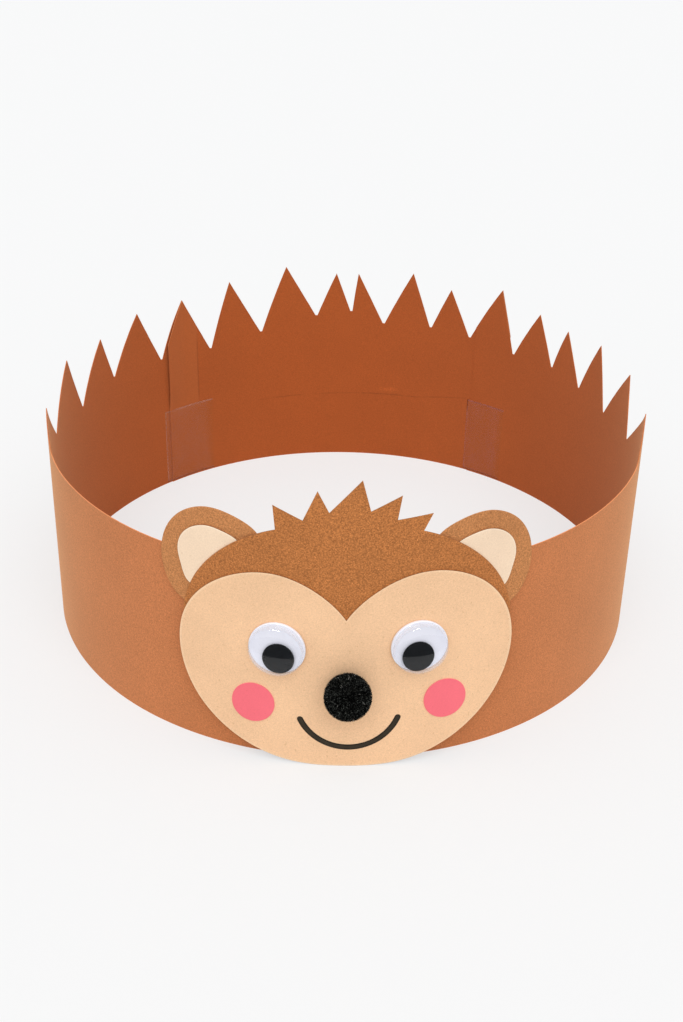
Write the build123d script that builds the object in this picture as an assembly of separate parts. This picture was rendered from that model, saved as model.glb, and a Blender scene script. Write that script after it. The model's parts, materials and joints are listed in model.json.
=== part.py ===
from build123d import *
import os
from math import asin, atan, cos, degrees, pi, radians, sin, sqrt

# Driving dimensions of the ring, in millimetres and degrees.
# Angles run anticlockwise seen from above: 270 is the front, 90 the back.
band_inner_radius = 87.5
band_height = 58.7
card_thickness = 0.25
lap_gap = 0.01
front_strip_start = 126.0
front_strip_end = 419.5
back_strip_start = 51.0
back_strip_end = 134.3
shoulder_left = 199.0
shoulder_right = 341.0
notch_floor_width = 0.7
blade_reach = 12.0
shoulder_step = 2.0

# The hand-cut spikes, from the left shoulder round the back to the right one:
# where each tip stands, how far it rises above the plain front edge, and how
# far its outer side bows out.
spike_angles = [
    189.0, 168.5, 154.0, 142.0, 129.5, 117.5, 104.0, 92.5, 87.5,
    75.0, 66.0, 53.5, 43.0, 34.5, 23.0, 9.0, -12.5,
]
spike_rises = [
    7.3, 8.3, 6.3, 8.8, 8.3, 11.3, 14.3, 11.3, 11.3,
    12.8, 8.8, 12.8, 8.8, 7.3, 9.3, 8.8, 11.8,
]
spike_bows = [
    0.6, 0.5, 0.5, 0.4, 0.5, 0.2, 0.2, 0.1, 0.1,
    0.2, 0.1, 0.4, 0.4, 0.4, 0.6, 0.8, 0.8,
]
# The notches between them: where each is, and how far it drops below that edge.
notch_angles = [
    178.5, 162.5, 150.0, 135.5, 122.5, 110.0, 97.0, 89.0,
    81.5, 70.5, 61.0, 49.5, 38.5, 29.5, 19.5, 6.5,
]
notch_depths = [
    9.2, 11.7, 9.2, 10.7, 11.7, 8.7, 4.2, 2.7,
    6.7, 6.2, 7.2, 8.7, 7.7, 9.7, 11.7, 11.2,
]

# Clear tape inside the two seams.
tape_thickness = 0.05
tape_gap = 0.03
tape_height = 27.5
tape_base = 0.5
tape_bridge = 1.6
left_tape_length = 17.5
right_tape_length = 13.2

# The head: sheets of card bent to the ring's curve, glued one on another.
# It leans back on the ring's top edge, with its foot standing this far forward.
foot_stand = 2.13
head_turn = 1.0
glue_line = 0.03

# Flat outlines, as width from the head's middle and height above its foot.
fringe = [
    (-18.4, 70.3),
    (-19.0, 77.1),
    (-11.6, 73.5),
    (-8.0, 81.8),
    (-5.1, 76.0),
    (2.9, 85.0),
    (5.1, 76.5),
    (12.7, 80.6),
    (11.7, 73.9),
    (20.5, 75.1),
    (18.3, 70.4),
]
head_side = [(27.6, 65.9), (37.6, 55.7), (42.0, 45.3), (41.8, 31.0), (35.5, 14.5), (21.0, 4.6)]
head_bottom = 1.8
face_notch = (-0.4, 45.4)
left_face_side = [
    (-8.6, 53.7),
    (-19.2, 57.7),
    (-32.8, 53.8),
    (-42.1, 42.3),
    (-43.6, 29.0),
    (-38.8, 15.8),
    (-27.5, 5.4),
    (-14.9, 0.8),
]
right_face_side = [
    (8.2, 54.4),
    (20.0, 58.8),
    (32.8, 55.0),
    (41.8, 43.0),
    (42.9, 28.5),
    (38.4, 16.8),
    (27.7, 6.2),
    (15.7, 1.2),
]
face_foot = (-1.2, 0.0)
ear_outline = [
    (22.0, 67.9),
    (28.6, 72.3),
    (35.2, 73.2),
    (41.3, 70.4),
    (45.7, 64.5),
    (47.3, 57.5),
    (46.3, 50.5),
    (43.0, 45.3),
    (36.0, 43.5),
    (26.0, 53.0),
]
inner_ear_outline = [
    (27.0, 65.2),
    (31.2, 67.5),
    (35.2, 68.1),
    (39.0, 66.7),
    (41.8, 63.6),
    (42.8, 59.4),
    (42.1, 55.2),
    (40.0, 50.3),
    (35.5, 49.5),
    (28.0, 58.0),
]
left_ear_shift = 0.7

# What is glued or drawn on the face, placed the same way.
cheek_width = 11.2
cheek_height = 12.2
cheek_thickness = 0.15
left_cheek_place = (-24.4, 18.0)
right_cheek_place = (26.0, 19.5)
mouth_ends = ((-12.0, 14.5), (13.6, 15.2))
mouth_middle = (0.7, 6.1)
mouth_stroke = 1.65
ink_thickness = 0.05
nose_diameter = 12.5
nose_press = 0.6
nose_sides = 190
nose_place = (0.25, 26.0)

# Wiggle eyes: a white back whose rim shows, a clear dome, and a loose black disc.
eye_diameter = 15.0
eye_back_thickness = 0.8
eye_rim_width = 0.35
dome_wall = 0.2
dome_height = 3.9
dome_side_height = 1.75
dome_crown_radius = 22.0
dome_shoulder = 0.77
pupil_diameter = 8.45
pupil_thickness = 0.9
pupil_clearance = 0.18
pupil_float = 0.2
pupil_lean = 4.0
left_eye_place = (-17.9, 36.2)
right_eye_place = (18.4, 37.2)
left_pupil_swing = 13.0
right_pupil_swing = -11.0

# Worked out from the driving dimensions.
band_outer_radius = band_inner_radius + card_thickness
layer_step = card_thickness + glue_line
ear_radius = band_outer_radius + glue_line
inner_ear_radius = ear_radius + layer_step
head_radius = inner_ear_radius + layer_step
face_radius = head_radius + layer_step
face_front = face_radius + card_thickness
dome_diameter = eye_diameter - 2 * eye_rim_width
foot_distance = face_front + foot_stand
head_lean = degrees(atan(foot_stand / band_height))
foot_lift = card_thickness * sin(radians(head_lean))
full_turn = 360
seam_middle = (front_strip_start + front_strip_end - full_turn) / 2
lap_swing = sin(radians((front_strip_start - front_strip_end + full_turn) / 2))
back_strip_shift = (card_thickness + lap_gap) / lap_swing
strip_top = band_height + 2 * max(spike_rises)
blade_top = strip_top + blade_reach


def polar(radius, angle):
    """Point of the floor plane at this radius and angle."""
    return (radius * cos(radians(angle)), radius * sin(radians(angle)))


def curved_wall(radius, thickness, start, end, height):
    """Upright wall bent to an arc about the ring's axis."""
    inner = CenterArc((0, 0), radius, start, end - start)
    outer = CenterArc((0, 0), radius + thickness, start, end - start)
    ends = [Line(inner @ 0, outer @ 0), Line(inner @ 1, outer @ 1)]
    return extrude(make_face([inner, outer] + ends), height)


def tangent_plane(angle):
    """Plane on the ring at this angle: x runs round the ring, y up, z outwards."""
    x, y = polar(band_inner_radius, angle)
    along = (-sin(radians(angle)), cos(radians(angle)), 0)
    return Plane(origin=(x, y, 0), x_dir=along, z_dir=(x, y, 0))


def beside(angle, spike):
    """A spike's tip as it lies in the tangent plane at this angle."""
    tip_angle, rise, bow = spike
    return Vector(band_inner_radius * sin(radians(tip_angle - angle)), band_height + rise)


def bowed_side(start, tip, bow):
    """Edge from a notch's floor to a tip, bowed into the notch."""
    middle = (start + tip) / 2
    across = (tip - start).rotate(Axis.Z, 90).normalized()
    if across.Y < 0:
        across = across * -1
    return ThreePointArc(start, middle + across * bow, tip)


def raised(point, other):
    """The line from other to point, carried on above the strip."""
    share = (blade_top - point.Y) / (point.Y - other.Y)
    return point + (point - other) * share


def cut_through(angle, outline):
    """Blade of this outline, driven through the wall at this angle."""
    return tangent_plane(angle) * extrude(make_face(outline), blade_reach, both=True)


def notch_blade(notch, right_spike, left_spike):
    """The waste between two spikes, seen from inside the ring."""
    angle, depth = notch
    right_floor = Vector(-notch_floor_width / 2, band_height - depth)
    left_floor = Vector(notch_floor_width / 2, band_height - depth)
    right_tip = beside(angle, right_spike)
    left_tip = beside(angle, left_spike)
    right_top = raised(right_tip, right_floor)
    left_top = raised(left_tip, left_floor)
    outline = [
        Line(right_floor, left_floor),
        Line(left_floor, left_tip),
        Line(left_tip, left_top),
        Line(left_top, right_top),
        Line(right_top, right_tip),
        bowed_side(right_floor, right_tip, right_spike[2]),
    ]
    return cut_through(angle, outline)


def shoulder_blade(angle, spike):
    """The waste above the plain edge, up to the first or last spike."""
    corner = Vector(0, band_height)
    tip = beside(angle, spike)
    top = raised(tip, corner)
    back = Vector(-tip.X, band_height)
    return cut_through(angle, Polyline(corner, tip, top, (back.X, top.Y), back, close=True).edges())


def plain_front_waste():
    """The waste above the plain front edge, between the two shoulders."""
    inside = band_inner_radius - blade_reach
    start = shoulder_left + shoulder_step
    end = shoulder_right - shoulder_step
    waste = curved_wall(inside, 2 * blade_reach, start, end, blade_top)
    return Pos(0, 0, band_height) * waste


def blades():
    """All the waste that the scissors take from the top edge."""
    spikes = list(zip(spike_angles, spike_rises, spike_bows))
    notches = zip(notch_angles, notch_depths)
    cuts = [notch_blade(*each) for each in zip(notches, spikes[1:], spikes[:-1])]
    cuts.append(shoulder_blade(shoulder_left, spikes[0]))
    cuts.append(shoulder_blade(shoulder_right - full_turn, spikes[-1]))
    cuts.append(plain_front_waste())
    return cuts


def strip(start, end, shift, cuts):
    """One strip of the ring with its spikes, from start to end."""
    wall = curved_wall(band_inner_radius, card_thickness, start, end, strip_top)
    across = polar(shift, seam_middle - 90)
    return Pos(*across) * wall - cuts


def tape_film(far_radius, seam, length, shift):
    """Film on a strip's inside that steps out over the strip's end at the seam."""
    inside = band_inner_radius - tape_gap - tape_thickness
    turn = degrees(length / inside)
    over = seam + degrees(tape_bridge / inside)
    centre = polar(shift, seam_middle - 90)
    inner = CenterArc(centre, inside, seam - turn, turn)
    outer = CenterArc(centre, inside + tape_thickness, seam - turn, turn)
    far_inner = polar(far_radius - tape_gap - tape_thickness, over)
    far_outer = polar(far_radius - tape_gap, over)
    outline = [
        inner,
        Line(inner @ 1, far_inner),
        Line(far_inner, far_outer),
        Line(far_outer, outer @ 1),
        outer,
        Line(outer @ 0, inner @ 0),
    ]
    return Pos(0, 0, tape_base) * extrude(make_face(outline), tape_height)


def closed_spline(points):
    """Face inside one smooth closed curve."""
    return make_face(Spline(*points, periodic=True))


def head_outline():
    """Domed head with the cut fringe of hair along its crown."""
    right = [fringe[-1]] + head_side
    left = [fringe[0]] + [(-x, z) for x, z in head_side]
    side = Spline(*(right + [(0, head_bottom)] + left[::-1]))
    return make_face([side, *Polyline(*fringe).edges()])


def face_outline():
    """Face whose top dips to a point between two lobes."""
    left = [face_notch] + left_face_side
    right = [face_notch] + right_face_side
    return make_face(Spline(*(left + [face_foot] + right[::-1])))


def mirrored(points, spread=0.0):
    """The same outline on the left, moved out by spread."""
    return [(-x - spread, z) for x, z in points]


def bent_sheet(outline, radius, thickness):
    """Sheet cut to an outline seen from the front, bent to an upright cylinder."""
    tall = 2 * (outline.bounding_box().max.Y + thickness)
    tube = Cylinder(radius + thickness, tall) - Cylinder(radius, tall)
    return extrude(Plane.XZ * outline, radius + 2 * thickness) & tube


def on_head(piece):
    """Lean a piece of the head back about its foot and stand it before the ring."""
    lean = Rot(X=-head_lean) * Pos(0, face_front, 0)
    return Rot(Z=head_turn) * Pos(0, -foot_distance, foot_lift) * lean * piece


def face_plane(place, lift=0.0):
    """Plane touching the face at a place: y up, z straight out of the face."""
    x, z = place
    turn = asin(x / face_front)
    out = Vector(sin(turn), -cos(turn), 0)
    origin = out * (face_front + lift) + Vector(0, 0, z)
    return Plane(origin=origin, x_dir=(cos(turn), sin(turn), 0), z_dir=out)


def eye_back():
    """White disc that carries the eye."""
    return extrude(Circle(eye_diameter / 2), eye_back_thickness)


def dome_core(inset, bent):
    """Body this far inside the dome's skin: a round wall, a shoulder sloped once or twice, and a crown."""
    side = dome_diameter / 2 - inset
    height = dome_height - inset
    crown = dome_crown_radius - inset
    middle = height - crown
    crown_foot = side - dome_shoulder
    wall_end = Vector(side, dome_side_height)
    corner = Vector(side, middle + sqrt(crown**2 - side**2))
    crown_end = Vector(crown_foot, middle + sqrt(crown**2 - crown_foot**2))
    slope = [wall_end, crown_end]
    if bent:
        slope.insert(1, (wall_end + corner * 2 + crown_end) / 4)
    past = slope[-1] * 2 - slope[-2]
    outside = side + dome_shoulder
    waste = Polyline(*slope[:-1], past, (outside, past.Y), (outside, wall_end.Y), close=True)
    ball = Pos(0, 0, middle) * Rot(X=90) * Sphere(crown)
    body = Pos(0, 0, height / 2) * Cylinder(side, height) & ball
    return body - revolve(Plane.XZ * make_face(waste), Axis.Z)


def eye_dome():
    """Clear hollow dome, standing on the eye's back."""
    shell = dome_core(0, bent=True) - dome_core(dome_wall, bent=False)
    return Pos(0, 0, eye_back_thickness) * shell


def pupil(swing):
    """Loose disc with its foot near the dome's wall, swung aside by this angle about the eye's axis.

    It leans back on the rear of its upper edge, so that its foot stands forward.
    """
    radius = pupil_diameter / 2
    foot = dome_diameter / 2 - dome_wall - pupil_clearance
    upper_edge = Pos(0, pupil_diameter - foot, eye_back_thickness + pupil_float)
    disc = extrude(Circle(radius), pupil_thickness)
    return Rot(Z=swing) * upper_edge * Rot(X=-pupil_lean) * Pos(0, -radius, 0) * disc


def nose():
    """Pompom: the cut yarn ends make a ball of many small sides, flattened where it is glued."""
    radius = nose_diameter / 2
    golden_turn = pi * (3 - sqrt(5))
    ends = []
    for step in range(nose_sides):
        height = radius * (1 - (2 * step + 1) / nose_sides)
        across = polar(sqrt(radius**2 - height**2), degrees(golden_turn * step))
        ends.append((*across, height))
    ball = Pos(0, 0, radius - nose_press) * ConvexPolyhedron(ends)
    room = Pos(0, 0, radius) * Box(2 * nose_diameter, 2 * nose_diameter, nose_diameter)
    return ball & room


def build():
    """Every piece of the crown by name."""
    cuts = blades()
    shift = back_strip_shift
    right_seam = front_strip_end - full_turn
    pieces = {
        "front_band": strip(front_strip_start, front_strip_end, 0, cuts),
        "back_band": strip(back_strip_start, back_strip_end, shift, cuts),
        "left_seam_tape": tape_film(band_inner_radius, back_strip_end, left_tape_length, shift),
        "right_seam_tape": tape_film(band_outer_radius, right_seam, right_tape_length, 0),
    }
    cheek = Ellipse(cheek_width / 2, cheek_height / 2)
    smile = SlotArc(ThreePointArc(mouth_ends[0], mouth_middle, mouth_ends[1]), mouth_stroke)
    drawn = face_front + glue_line
    sheets = {
        "left_ear": (closed_spline(mirrored(ear_outline, left_ear_shift)), ear_radius),
        "right_ear": (closed_spline(ear_outline), ear_radius),
        "left_inner_ear": (closed_spline(mirrored(inner_ear_outline, left_ear_shift)), inner_ear_radius),
        "right_inner_ear": (closed_spline(inner_ear_outline), inner_ear_radius),
        "head_card": (head_outline(), head_radius),
        "face_card": (face_outline(), face_radius),
    }
    for name, (outline, radius) in sheets.items():
        pieces[name] = on_head(bent_sheet(outline, radius, card_thickness))
    for name, place in (("left_cheek", left_cheek_place), ("right_cheek", right_cheek_place)):
        pieces[name] = on_head(bent_sheet(Pos(*place) * cheek, drawn, cheek_thickness))
    pieces["mouth"] = on_head(bent_sheet(smile, drawn, ink_thickness))
    pieces["nose_pompom"] = on_head(face_plane(nose_place, glue_line) * nose())
    eyes = {"left": (left_eye_place, left_pupil_swing), "right": (right_eye_place, right_pupil_swing)}
    for side, (place, swing) in eyes.items():
        seat = face_plane(place, glue_line)
        pieces[side + "_eye_back"] = on_head(seat * eye_back())
        pieces[side + "_eye_dome"] = on_head(seat * eye_dome())
        pieces[side + "_pupil"] = on_head(seat * pupil(swing))
    return pieces


os.makedirs("parts", exist_ok=True)
for name, piece in build().items():
    export_step(piece, f"parts/{name}.step")
    print(name, round(piece.volume, 3))
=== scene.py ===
"""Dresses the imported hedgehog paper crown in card, film, pile and plastic.

Each piece is a surface worked out with numpy in millimetres, in the frame's own axes: the ring stands
on the floor round the Z axis, and the hedgehog looks towards -Y. Angles run anticlockwise seen from
above, so 270 is the front and 90 the back.
"""
import json
import math

import bpy
import numpy as np
from mathutils import Matrix, Vector

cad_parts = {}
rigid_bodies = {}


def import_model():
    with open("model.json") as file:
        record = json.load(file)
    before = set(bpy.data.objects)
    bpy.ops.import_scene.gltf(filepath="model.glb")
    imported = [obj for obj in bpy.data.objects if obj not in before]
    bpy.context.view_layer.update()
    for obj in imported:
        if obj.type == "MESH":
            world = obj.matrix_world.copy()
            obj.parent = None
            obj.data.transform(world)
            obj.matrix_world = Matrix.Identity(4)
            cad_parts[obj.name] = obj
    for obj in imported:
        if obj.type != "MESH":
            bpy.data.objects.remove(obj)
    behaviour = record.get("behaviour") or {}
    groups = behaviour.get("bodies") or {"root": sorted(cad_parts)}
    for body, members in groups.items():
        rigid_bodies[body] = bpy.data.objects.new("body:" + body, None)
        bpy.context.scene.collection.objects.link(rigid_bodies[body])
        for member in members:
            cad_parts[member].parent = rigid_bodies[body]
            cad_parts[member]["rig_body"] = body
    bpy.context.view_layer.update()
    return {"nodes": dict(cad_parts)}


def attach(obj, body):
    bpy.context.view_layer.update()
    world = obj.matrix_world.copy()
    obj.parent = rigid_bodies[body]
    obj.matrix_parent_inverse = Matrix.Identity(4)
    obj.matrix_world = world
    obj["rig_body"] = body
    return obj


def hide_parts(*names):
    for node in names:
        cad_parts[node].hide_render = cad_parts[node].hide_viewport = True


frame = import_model()

bl_info = {
    "name": "Hedgehog Paper Crown",
    "version": (1, 0, 0),
    "blender": (4, 5, 0),
    "location": "3D View > Sidebar > Paper Crown",
    "description": "Dresses the paper crown's frame in card, film, pile and plastic",
    "category": "Object",
}

MM = 0.001

# The ring, in millimetres and degrees.
BAND_RADIUS = 87.5
BAND_HEIGHT = 58.7
CARD = 0.25
LAP_GAP = 0.01
FRONT_STRIP = (126.0, 419.5)
BACK_STRIP = (51.0, 134.3)
SHOULDERS = (199.0, 341.0)
NOTCH_FLOOR = 0.7

# The hand-cut spikes, from the left shoulder round the back to the right one.
SPIKE_ANGLES = [
    189.0, 168.5, 154.0, 142.0, 129.5, 117.5, 104.0, 92.5, 87.5,
    75.0, 66.0, 53.5, 43.0, 34.5, 23.0, 9.0, -12.5,
]
SPIKE_RISES = [
    7.3, 8.3, 6.3, 8.8, 8.3, 11.3, 14.3, 11.3, 11.3,
    12.8, 8.8, 12.8, 8.8, 7.3, 9.3, 8.8, 11.8,
]
SPIKE_BOWS = [
    0.6, 0.5, 0.5, 0.4, 0.5, 0.2, 0.2, 0.1, 0.1,
    0.2, 0.1, 0.4, 0.4, 0.4, 0.6, 0.8, 0.8,
]
# The notches between them, and how far each drops below the plain front edge.
NOTCH_ANGLES = [
    178.5, 162.5, 150.0, 135.5, 122.5, 110.0, 97.0, 89.0,
    81.5, 70.5, 61.0, 49.5, 38.5, 29.5, 19.5, 6.5,
]
NOTCH_DEPTHS = [
    9.2, 11.7, 9.2, 10.7, 11.7, 8.7, 4.2, 2.7,
    6.7, 6.2, 7.2, 8.7, 7.7, 9.7, 11.7, 11.2,
]
# How far each spike's tip has curled towards the ring's middle since it was cut.
SPIKE_CURLS = [
    0.1, 0.2, 0.1, 0.25, 0.1, 0.2, 0.1, 0.3, 0.1,
    0.2, 0.25, 0.1, 0.2, 0.1, 0.25, 0.1, 0.1,
]
# Where the curl starts below the plain edge, and the height over which it grows to the full curl.
CURL_START = 4.0
CURL_REACH = 18.0
# The ring's wave: its pitch round the ring, the height over which it drifts, and the sines of the
# angle between which it dies out towards the front.
WAVE_PITCH = 4
WAVE_DRIFT = 60
WAVE_FRONT = (0.45, 0.75)
# The back strip's free end stands off the front strip above the left tape: how far, over what length,
# and between what heights above the tape's top.
SEAM_LIFT = 0.8
SEAM_LIFT_RUN = 8.0
SEAM_LIFT_RISE = (-1.0, 7.0)
# How ragged the hand-cut edge is, the straighter plain one, the pitch of its ripple along the edge and
# across it, and how much of the cut shows among the spikes.
RAGGED_CUT = 0.05
PLAIN_CUT = 0.02
CUT_PITCH = (3.1, 0.7)
SPIKE_CUT_SHARE = 0.2
# A strip's mesh: degrees between its columns, the column beside each end, the least space between two,
# rows up its height, and the row beside each long edge.
STRIP_STEP = 0.5
END_COLUMN = 0.1
COLUMN_SPACE = 0.12
STRIP_ROWS = 27
STRIP_EDGE_ROW = 0.12

# Marks on the strips' inner face: a fold as angles and heights, painted as shade, a scuff, the lap's
# paler tone and where it starts above the tape, and the faint line of painted shade along the strip's end
# behind it.
CREASE = [(110.0, 23.7), (91.0, 24.3), (73.0, 24.9), (60.0, 28.4)]
CREASE_WIDTH = 0.17
SCUFF_ANGLES = (78.2, 82.2)
SCUFF_HEIGHTS = (26.2, 27.2)
LAP_TONE = (0.53, 0.162, 0.049)
LAP_START = (26.0, 29.0)
LINE_HALF = 0.16
LINE_HEIGHTS = (29.0, 52.0)

# Clear tape inside the two seams.
TAPE = 0.05
TAPE_GAP = 0.03
TAPE_BASE = 0.5
TAPE_HEIGHT = 27.5
TAPE_BRIDGE = 1.6
LEFT_TAPE_LENGTH = 17.5
RIGHT_TAPE_LENGTH = 13.2
# Its blisters: how far they stand off, how wide and tall they are, and how rare. It lies clear at its
# start. Then its mesh: rows, columns, and the row and column beside its edges.
TAPE_BLISTER = 0.10
BLISTER_SIZE = (2.2, 2.6)
BLISTER_RARITY = 0.35
TAPE_CLEAR_START = 3.5
TAPE_ROWS = 44
TAPE_COLUMNS = 48
TAPE_EDGE_ROW = 0.15
TAPE_EDGE_COLUMN = 0.12
TAPE_STEP_COLUMNS = 8
# Each tape's cloudy veil, the tone of its cut edge, a painted highlight on the left tape and a painted
# shadow on the right, with its strength along the top and low down, how far below the top its upright
# edge fades to the low strength, and the painted shadow along its foot.
TAPE_VEILS = {"left": (0.86, 0.66, 0.68), "right": (0.72, 0.44, 0.66)}
TAPE_EDGE_LIGHT_SHADE = {"left": (0.76, 0.36, 0.20), "right": (0.03, 0.012, 0.006)}
TAPE_EDGE_SHARES = {"left": (0.8, 0.6), "right": (0.5, 0.2)}
TAPE_EDGE_FADE = (-6.5, -2.5)
TAPE_FOOT_SHADOW = (0.05, 0.04, 0.05)

# The head leans back on the ring's top edge, with its foot standing forward.
FOOT_STAND = 2.13
HEAD_TURN = 1.0
GLUE = 0.03

# Flat outlines, as width from the head's middle and height above its foot.
FRINGE = [
    (-18.4, 70.3), (-19.0, 77.1), (-11.6, 73.5), (-8.0, 81.8), (-5.1, 76.0), (2.9, 85.0),
    (5.1, 76.5), (12.7, 80.6), (11.7, 73.9), (20.5, 75.1), (18.3, 70.4),
]
HEAD_SIDE = [(27.6, 65.9), (37.6, 55.7), (42.0, 45.3), (41.8, 31.0), (35.5, 14.5), (21.0, 4.6)]
HEAD_BOTTOM = 1.8
FACE_NOTCH = (-0.4, 45.4)
LEFT_FACE_SIDE = [
    (-8.6, 53.7), (-19.2, 57.7), (-32.8, 53.8), (-42.1, 42.3),
    (-43.6, 29.0), (-38.8, 15.8), (-27.5, 5.4), (-14.9, 0.8),
]
RIGHT_FACE_SIDE = [
    (8.2, 54.4), (20.0, 58.8), (32.8, 55.0), (41.8, 43.0),
    (42.9, 28.5), (38.4, 16.8), (27.7, 6.2), (15.7, 1.2),
]
FACE_FOOT = (-1.2, 0.0)
EAR = [
    (22.0, 67.9), (28.6, 72.3), (35.2, 73.2), (41.3, 70.4), (45.7, 64.5),
    (47.3, 57.5), (46.3, 50.5), (43.0, 45.3), (36.0, 43.5), (26.0, 53.0),
]
INNER_EAR = [
    (27.0, 65.2), (31.2, 67.5), (35.2, 68.1), (39.0, 66.7), (41.8, 63.6),
    (42.8, 59.4), (42.1, 55.2), (40.0, 50.3), (35.5, 49.5), (28.0, 58.0),
]
LEFT_EAR_SHIFT = 0.7

# A sheet's mesh: middles that its rows run out from, the shares of the way in at which they lie, the
# rows beside the edge as millimetres and the share they never pass, and the cut edge's ease.
HEAD_MIDDLE = (0, 40)
FACE_MIDDLE = (0, 30)
SHEET_STEP = 0.5
SHEET_ROWS = (0.93, 0.8, 0.65, 0.5, 0.36, 0.24, 0.14, 0.07)
EDGE_ROWS = ((0.7, 0.045), (0.25, 0.02))
EDGE_EASE = 0.03
# Every sheet shares one slow wave. The ears stand free this far from the head's middle and the fringe
# above this height, and the lift dies out this far in from the edge. The face's is uneven.
SHEET_WAVE = 0.06
SHEET_WAVE_SIZE = 16
FACE_UNEVEN = 0.25
FACE_UNEVEN_SIZE = 9
EAR_FREE = (33, 43)
FRINGE_FREE = (56, 66)
FREE_RUN = 5
FRINGE_RUN = 6

# How bright grains, dark flecks and the painted highlight on the rim share out over red, green and blue,
# the warm tint of the card's loose fibres, and the cut edge of the cream sheets, which lies in shade, as
# painted shade.
GRAIN_SHARES = (0.85, 1.0, 1.3)
FLECK_SHARES = (0.75, 1.0, 1.3)
RIM_HIGHLIGHT_SHARES = (0.4, 1.0, 1.4)
SHEEN_TINT = (1.0, 0.64, 0.36, 1)
SHADED_EDGE = (0.22, 0.095, 0.035)

# What is glued or drawn on the face.
CHEEK_SIZE = (11.2, 12.2)
CHEEK_TURNS = {"left": -17.0, "right": 17.0}
CHEEK_CARD = 0.15
CHEEK_SNIPS = 0.006
CHEEK_COLUMNS = 160
CHEEKS = {"left": (-24.4, 18.0), "right": (26.0, 19.5)}
MOUTH_ENDS = ((-12.0, 14.5), (13.6, 15.2))
MOUTH_MIDDLE = (0.7, 6.1)
MOUTH_STROKE = 1.65
MOUTH_WOBBLE = 0.03
MOUTH_ROWS = (-1.0, -0.85, -0.6, -0.3, 0.0, 0.3, 0.6, 0.85, 1.0)
MOUTH_COLUMNS = 150
MOUTH_END_COLUMNS = 12
# The ink has pooled between these shares of the way out to the stroke's edges.
INK_POOL = (0.45, 0.9)
INK = 0.05
NOSE_RADIUS = 6.25
NOSE_PRESS = 0.6
NOSE_PLACE = (0.25, 26.0)
# Yarn ends: scatter of their directions, spread of their length, lean, curl and width, and a stalk's
# rings as the share of its length and of its width.
PILE_SCATTER = 0.02
PILE_LENGTHS = (0.85, 1.15)
PILE_LEANS = (0.1, 0.55)
PILE_CURLS = (-0.5, 0.5)
PILE_WIDTHS = (0.055, 0.085)
STALK_RINGS = ((0.0, 1.0), (0.45, 0.95), (0.8, 0.75))
# No yarn end comes nearer to the glue than this.
PILE_FLOOR = 0.02
# The ball inside the pile: how deep it lies, as a share of the pile's length, its knobbles and shade.
CORE_DEPTH = 0.8
CORE_KNOBBLE = 0.01
CORE_SHADE = 0.3
CORE_ROWS = 33
CORE_COLUMNS = 64

# Wiggle eyes. An ease is the radius of a rounded edge, and rings only divide a flat face.
EYE_RADIUS = 7.5
EYE_BACK = 0.8
EYE_RIM = 0.35
BACK_EASE = 0.22
BACK_REAR_EASE = 0.1
BACK_RINGS = (3.0, 6.9)
DOME_WALL = 0.2
DOME_HEIGHT = 3.9
DOME_SIDE = 1.75
DOME_CROWN = 22.0
DOME_SHOULDER = 1.6
# The foot of the dome's wall, as distance out from the wall and height, and how far it stands off.
DOME_FOOT = ((0.0, 0.9), (0.0, 0.32), (0.05, 0.2), (0.2, 0.14), (0.2, 0.0))
DOME_SEAT = 0.01
DOME_COLUMNS = 128
# The dome is milky between these heights.
MILKY_START = (0.2, 0.3)
MILKY_END = (DOME_SIDE - 0.6, DOME_SIDE + 0.4)
PUPIL_RADIUS = 4.225
PUPIL_THICKNESS = 0.9
PUPIL_CLEARANCE = 0.18
PUPIL_FLOAT = 0.2
PUPIL_LEAN = 4.0
PUPIL_CROWN = 25.0
PUPIL_EASE = 0.16
PUPIL_RING = 2.0
EYE_BLACK = (0.0108, 0.0118, 0.0135)
EYES = {"left": ((-17.9, 36.2), 13.0), "right": ((18.4, 37.2), -11.0)}

# Worked out from the sizes above, as the layers are glued one on another.
LAYER = CARD + GLUE
EAR_RADIUS = BAND_RADIUS + LAYER
INNER_EAR_RADIUS = EAR_RADIUS + LAYER
HEAD_RADIUS = INNER_EAR_RADIUS + LAYER
FACE_RADIUS = HEAD_RADIUS + LAYER
FACE_FRONT = FACE_RADIUS + CARD
FOOT_DISTANCE = FACE_FRONT + FOOT_STAND
HEAD_LEAN = math.atan(FOOT_STAND / BAND_HEIGHT)
FOOT_LIFT = CARD * math.sin(HEAD_LEAN)
DOME_RADIUS = EYE_RADIUS - EYE_RIM
TAPE_TOP = TAPE_BASE + TAPE_HEIGHT
SEAM_MIDDLE = (sum(FRONT_STRIP) - 360) / 2
LAP_SWING = math.sin(math.radians((FRONT_STRIP[0] - FRONT_STRIP[1] + 360) / 2))
BACK_SHIFT = (CARD + LAP_GAP) / LAP_SWING

# Noise of each finish: its scale for each metre, its detail, its roughness and, for fibres, its kind.
CARD_CLOUD = (45.0, 3.0, 0.6)
CARD_MOTTLE = (2400.0, 2.0, 0.6)
CARD_GRAIN = (4000.0, 1.0, 0.6)
CARD_FIBRE = (520.0, 2.0, 0.5, "RIDGED_MULTIFRACTAL")
CARD_SPECK = (1500.0, 1.0, 0.4)
CREASE_SHADE_BREAKS = (260.0, 2.0, 0.6)
SCUFF_GRIT = (1400.0, 2.0, 0.6)
SKIN_RIPPLE = (300.0, 1.0)
TAPE_SMEAR = (160.0, 3.0, 0.6)
INK_STREAK = (420.0, 3.0, 0.6)
INK_TOOTH = (3000.0, 2.0)
PILE_HIGHLIGHT_NOISE = (2600.0, 1.0, 0.5)
PLASTIC_CLOUD = (260.0, 2.0, 0.5)
PLASTIC_RIPPLE = (500.0, 1.0)
DOME_CLOUD = (400.0, 2.0, 0.5)

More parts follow.
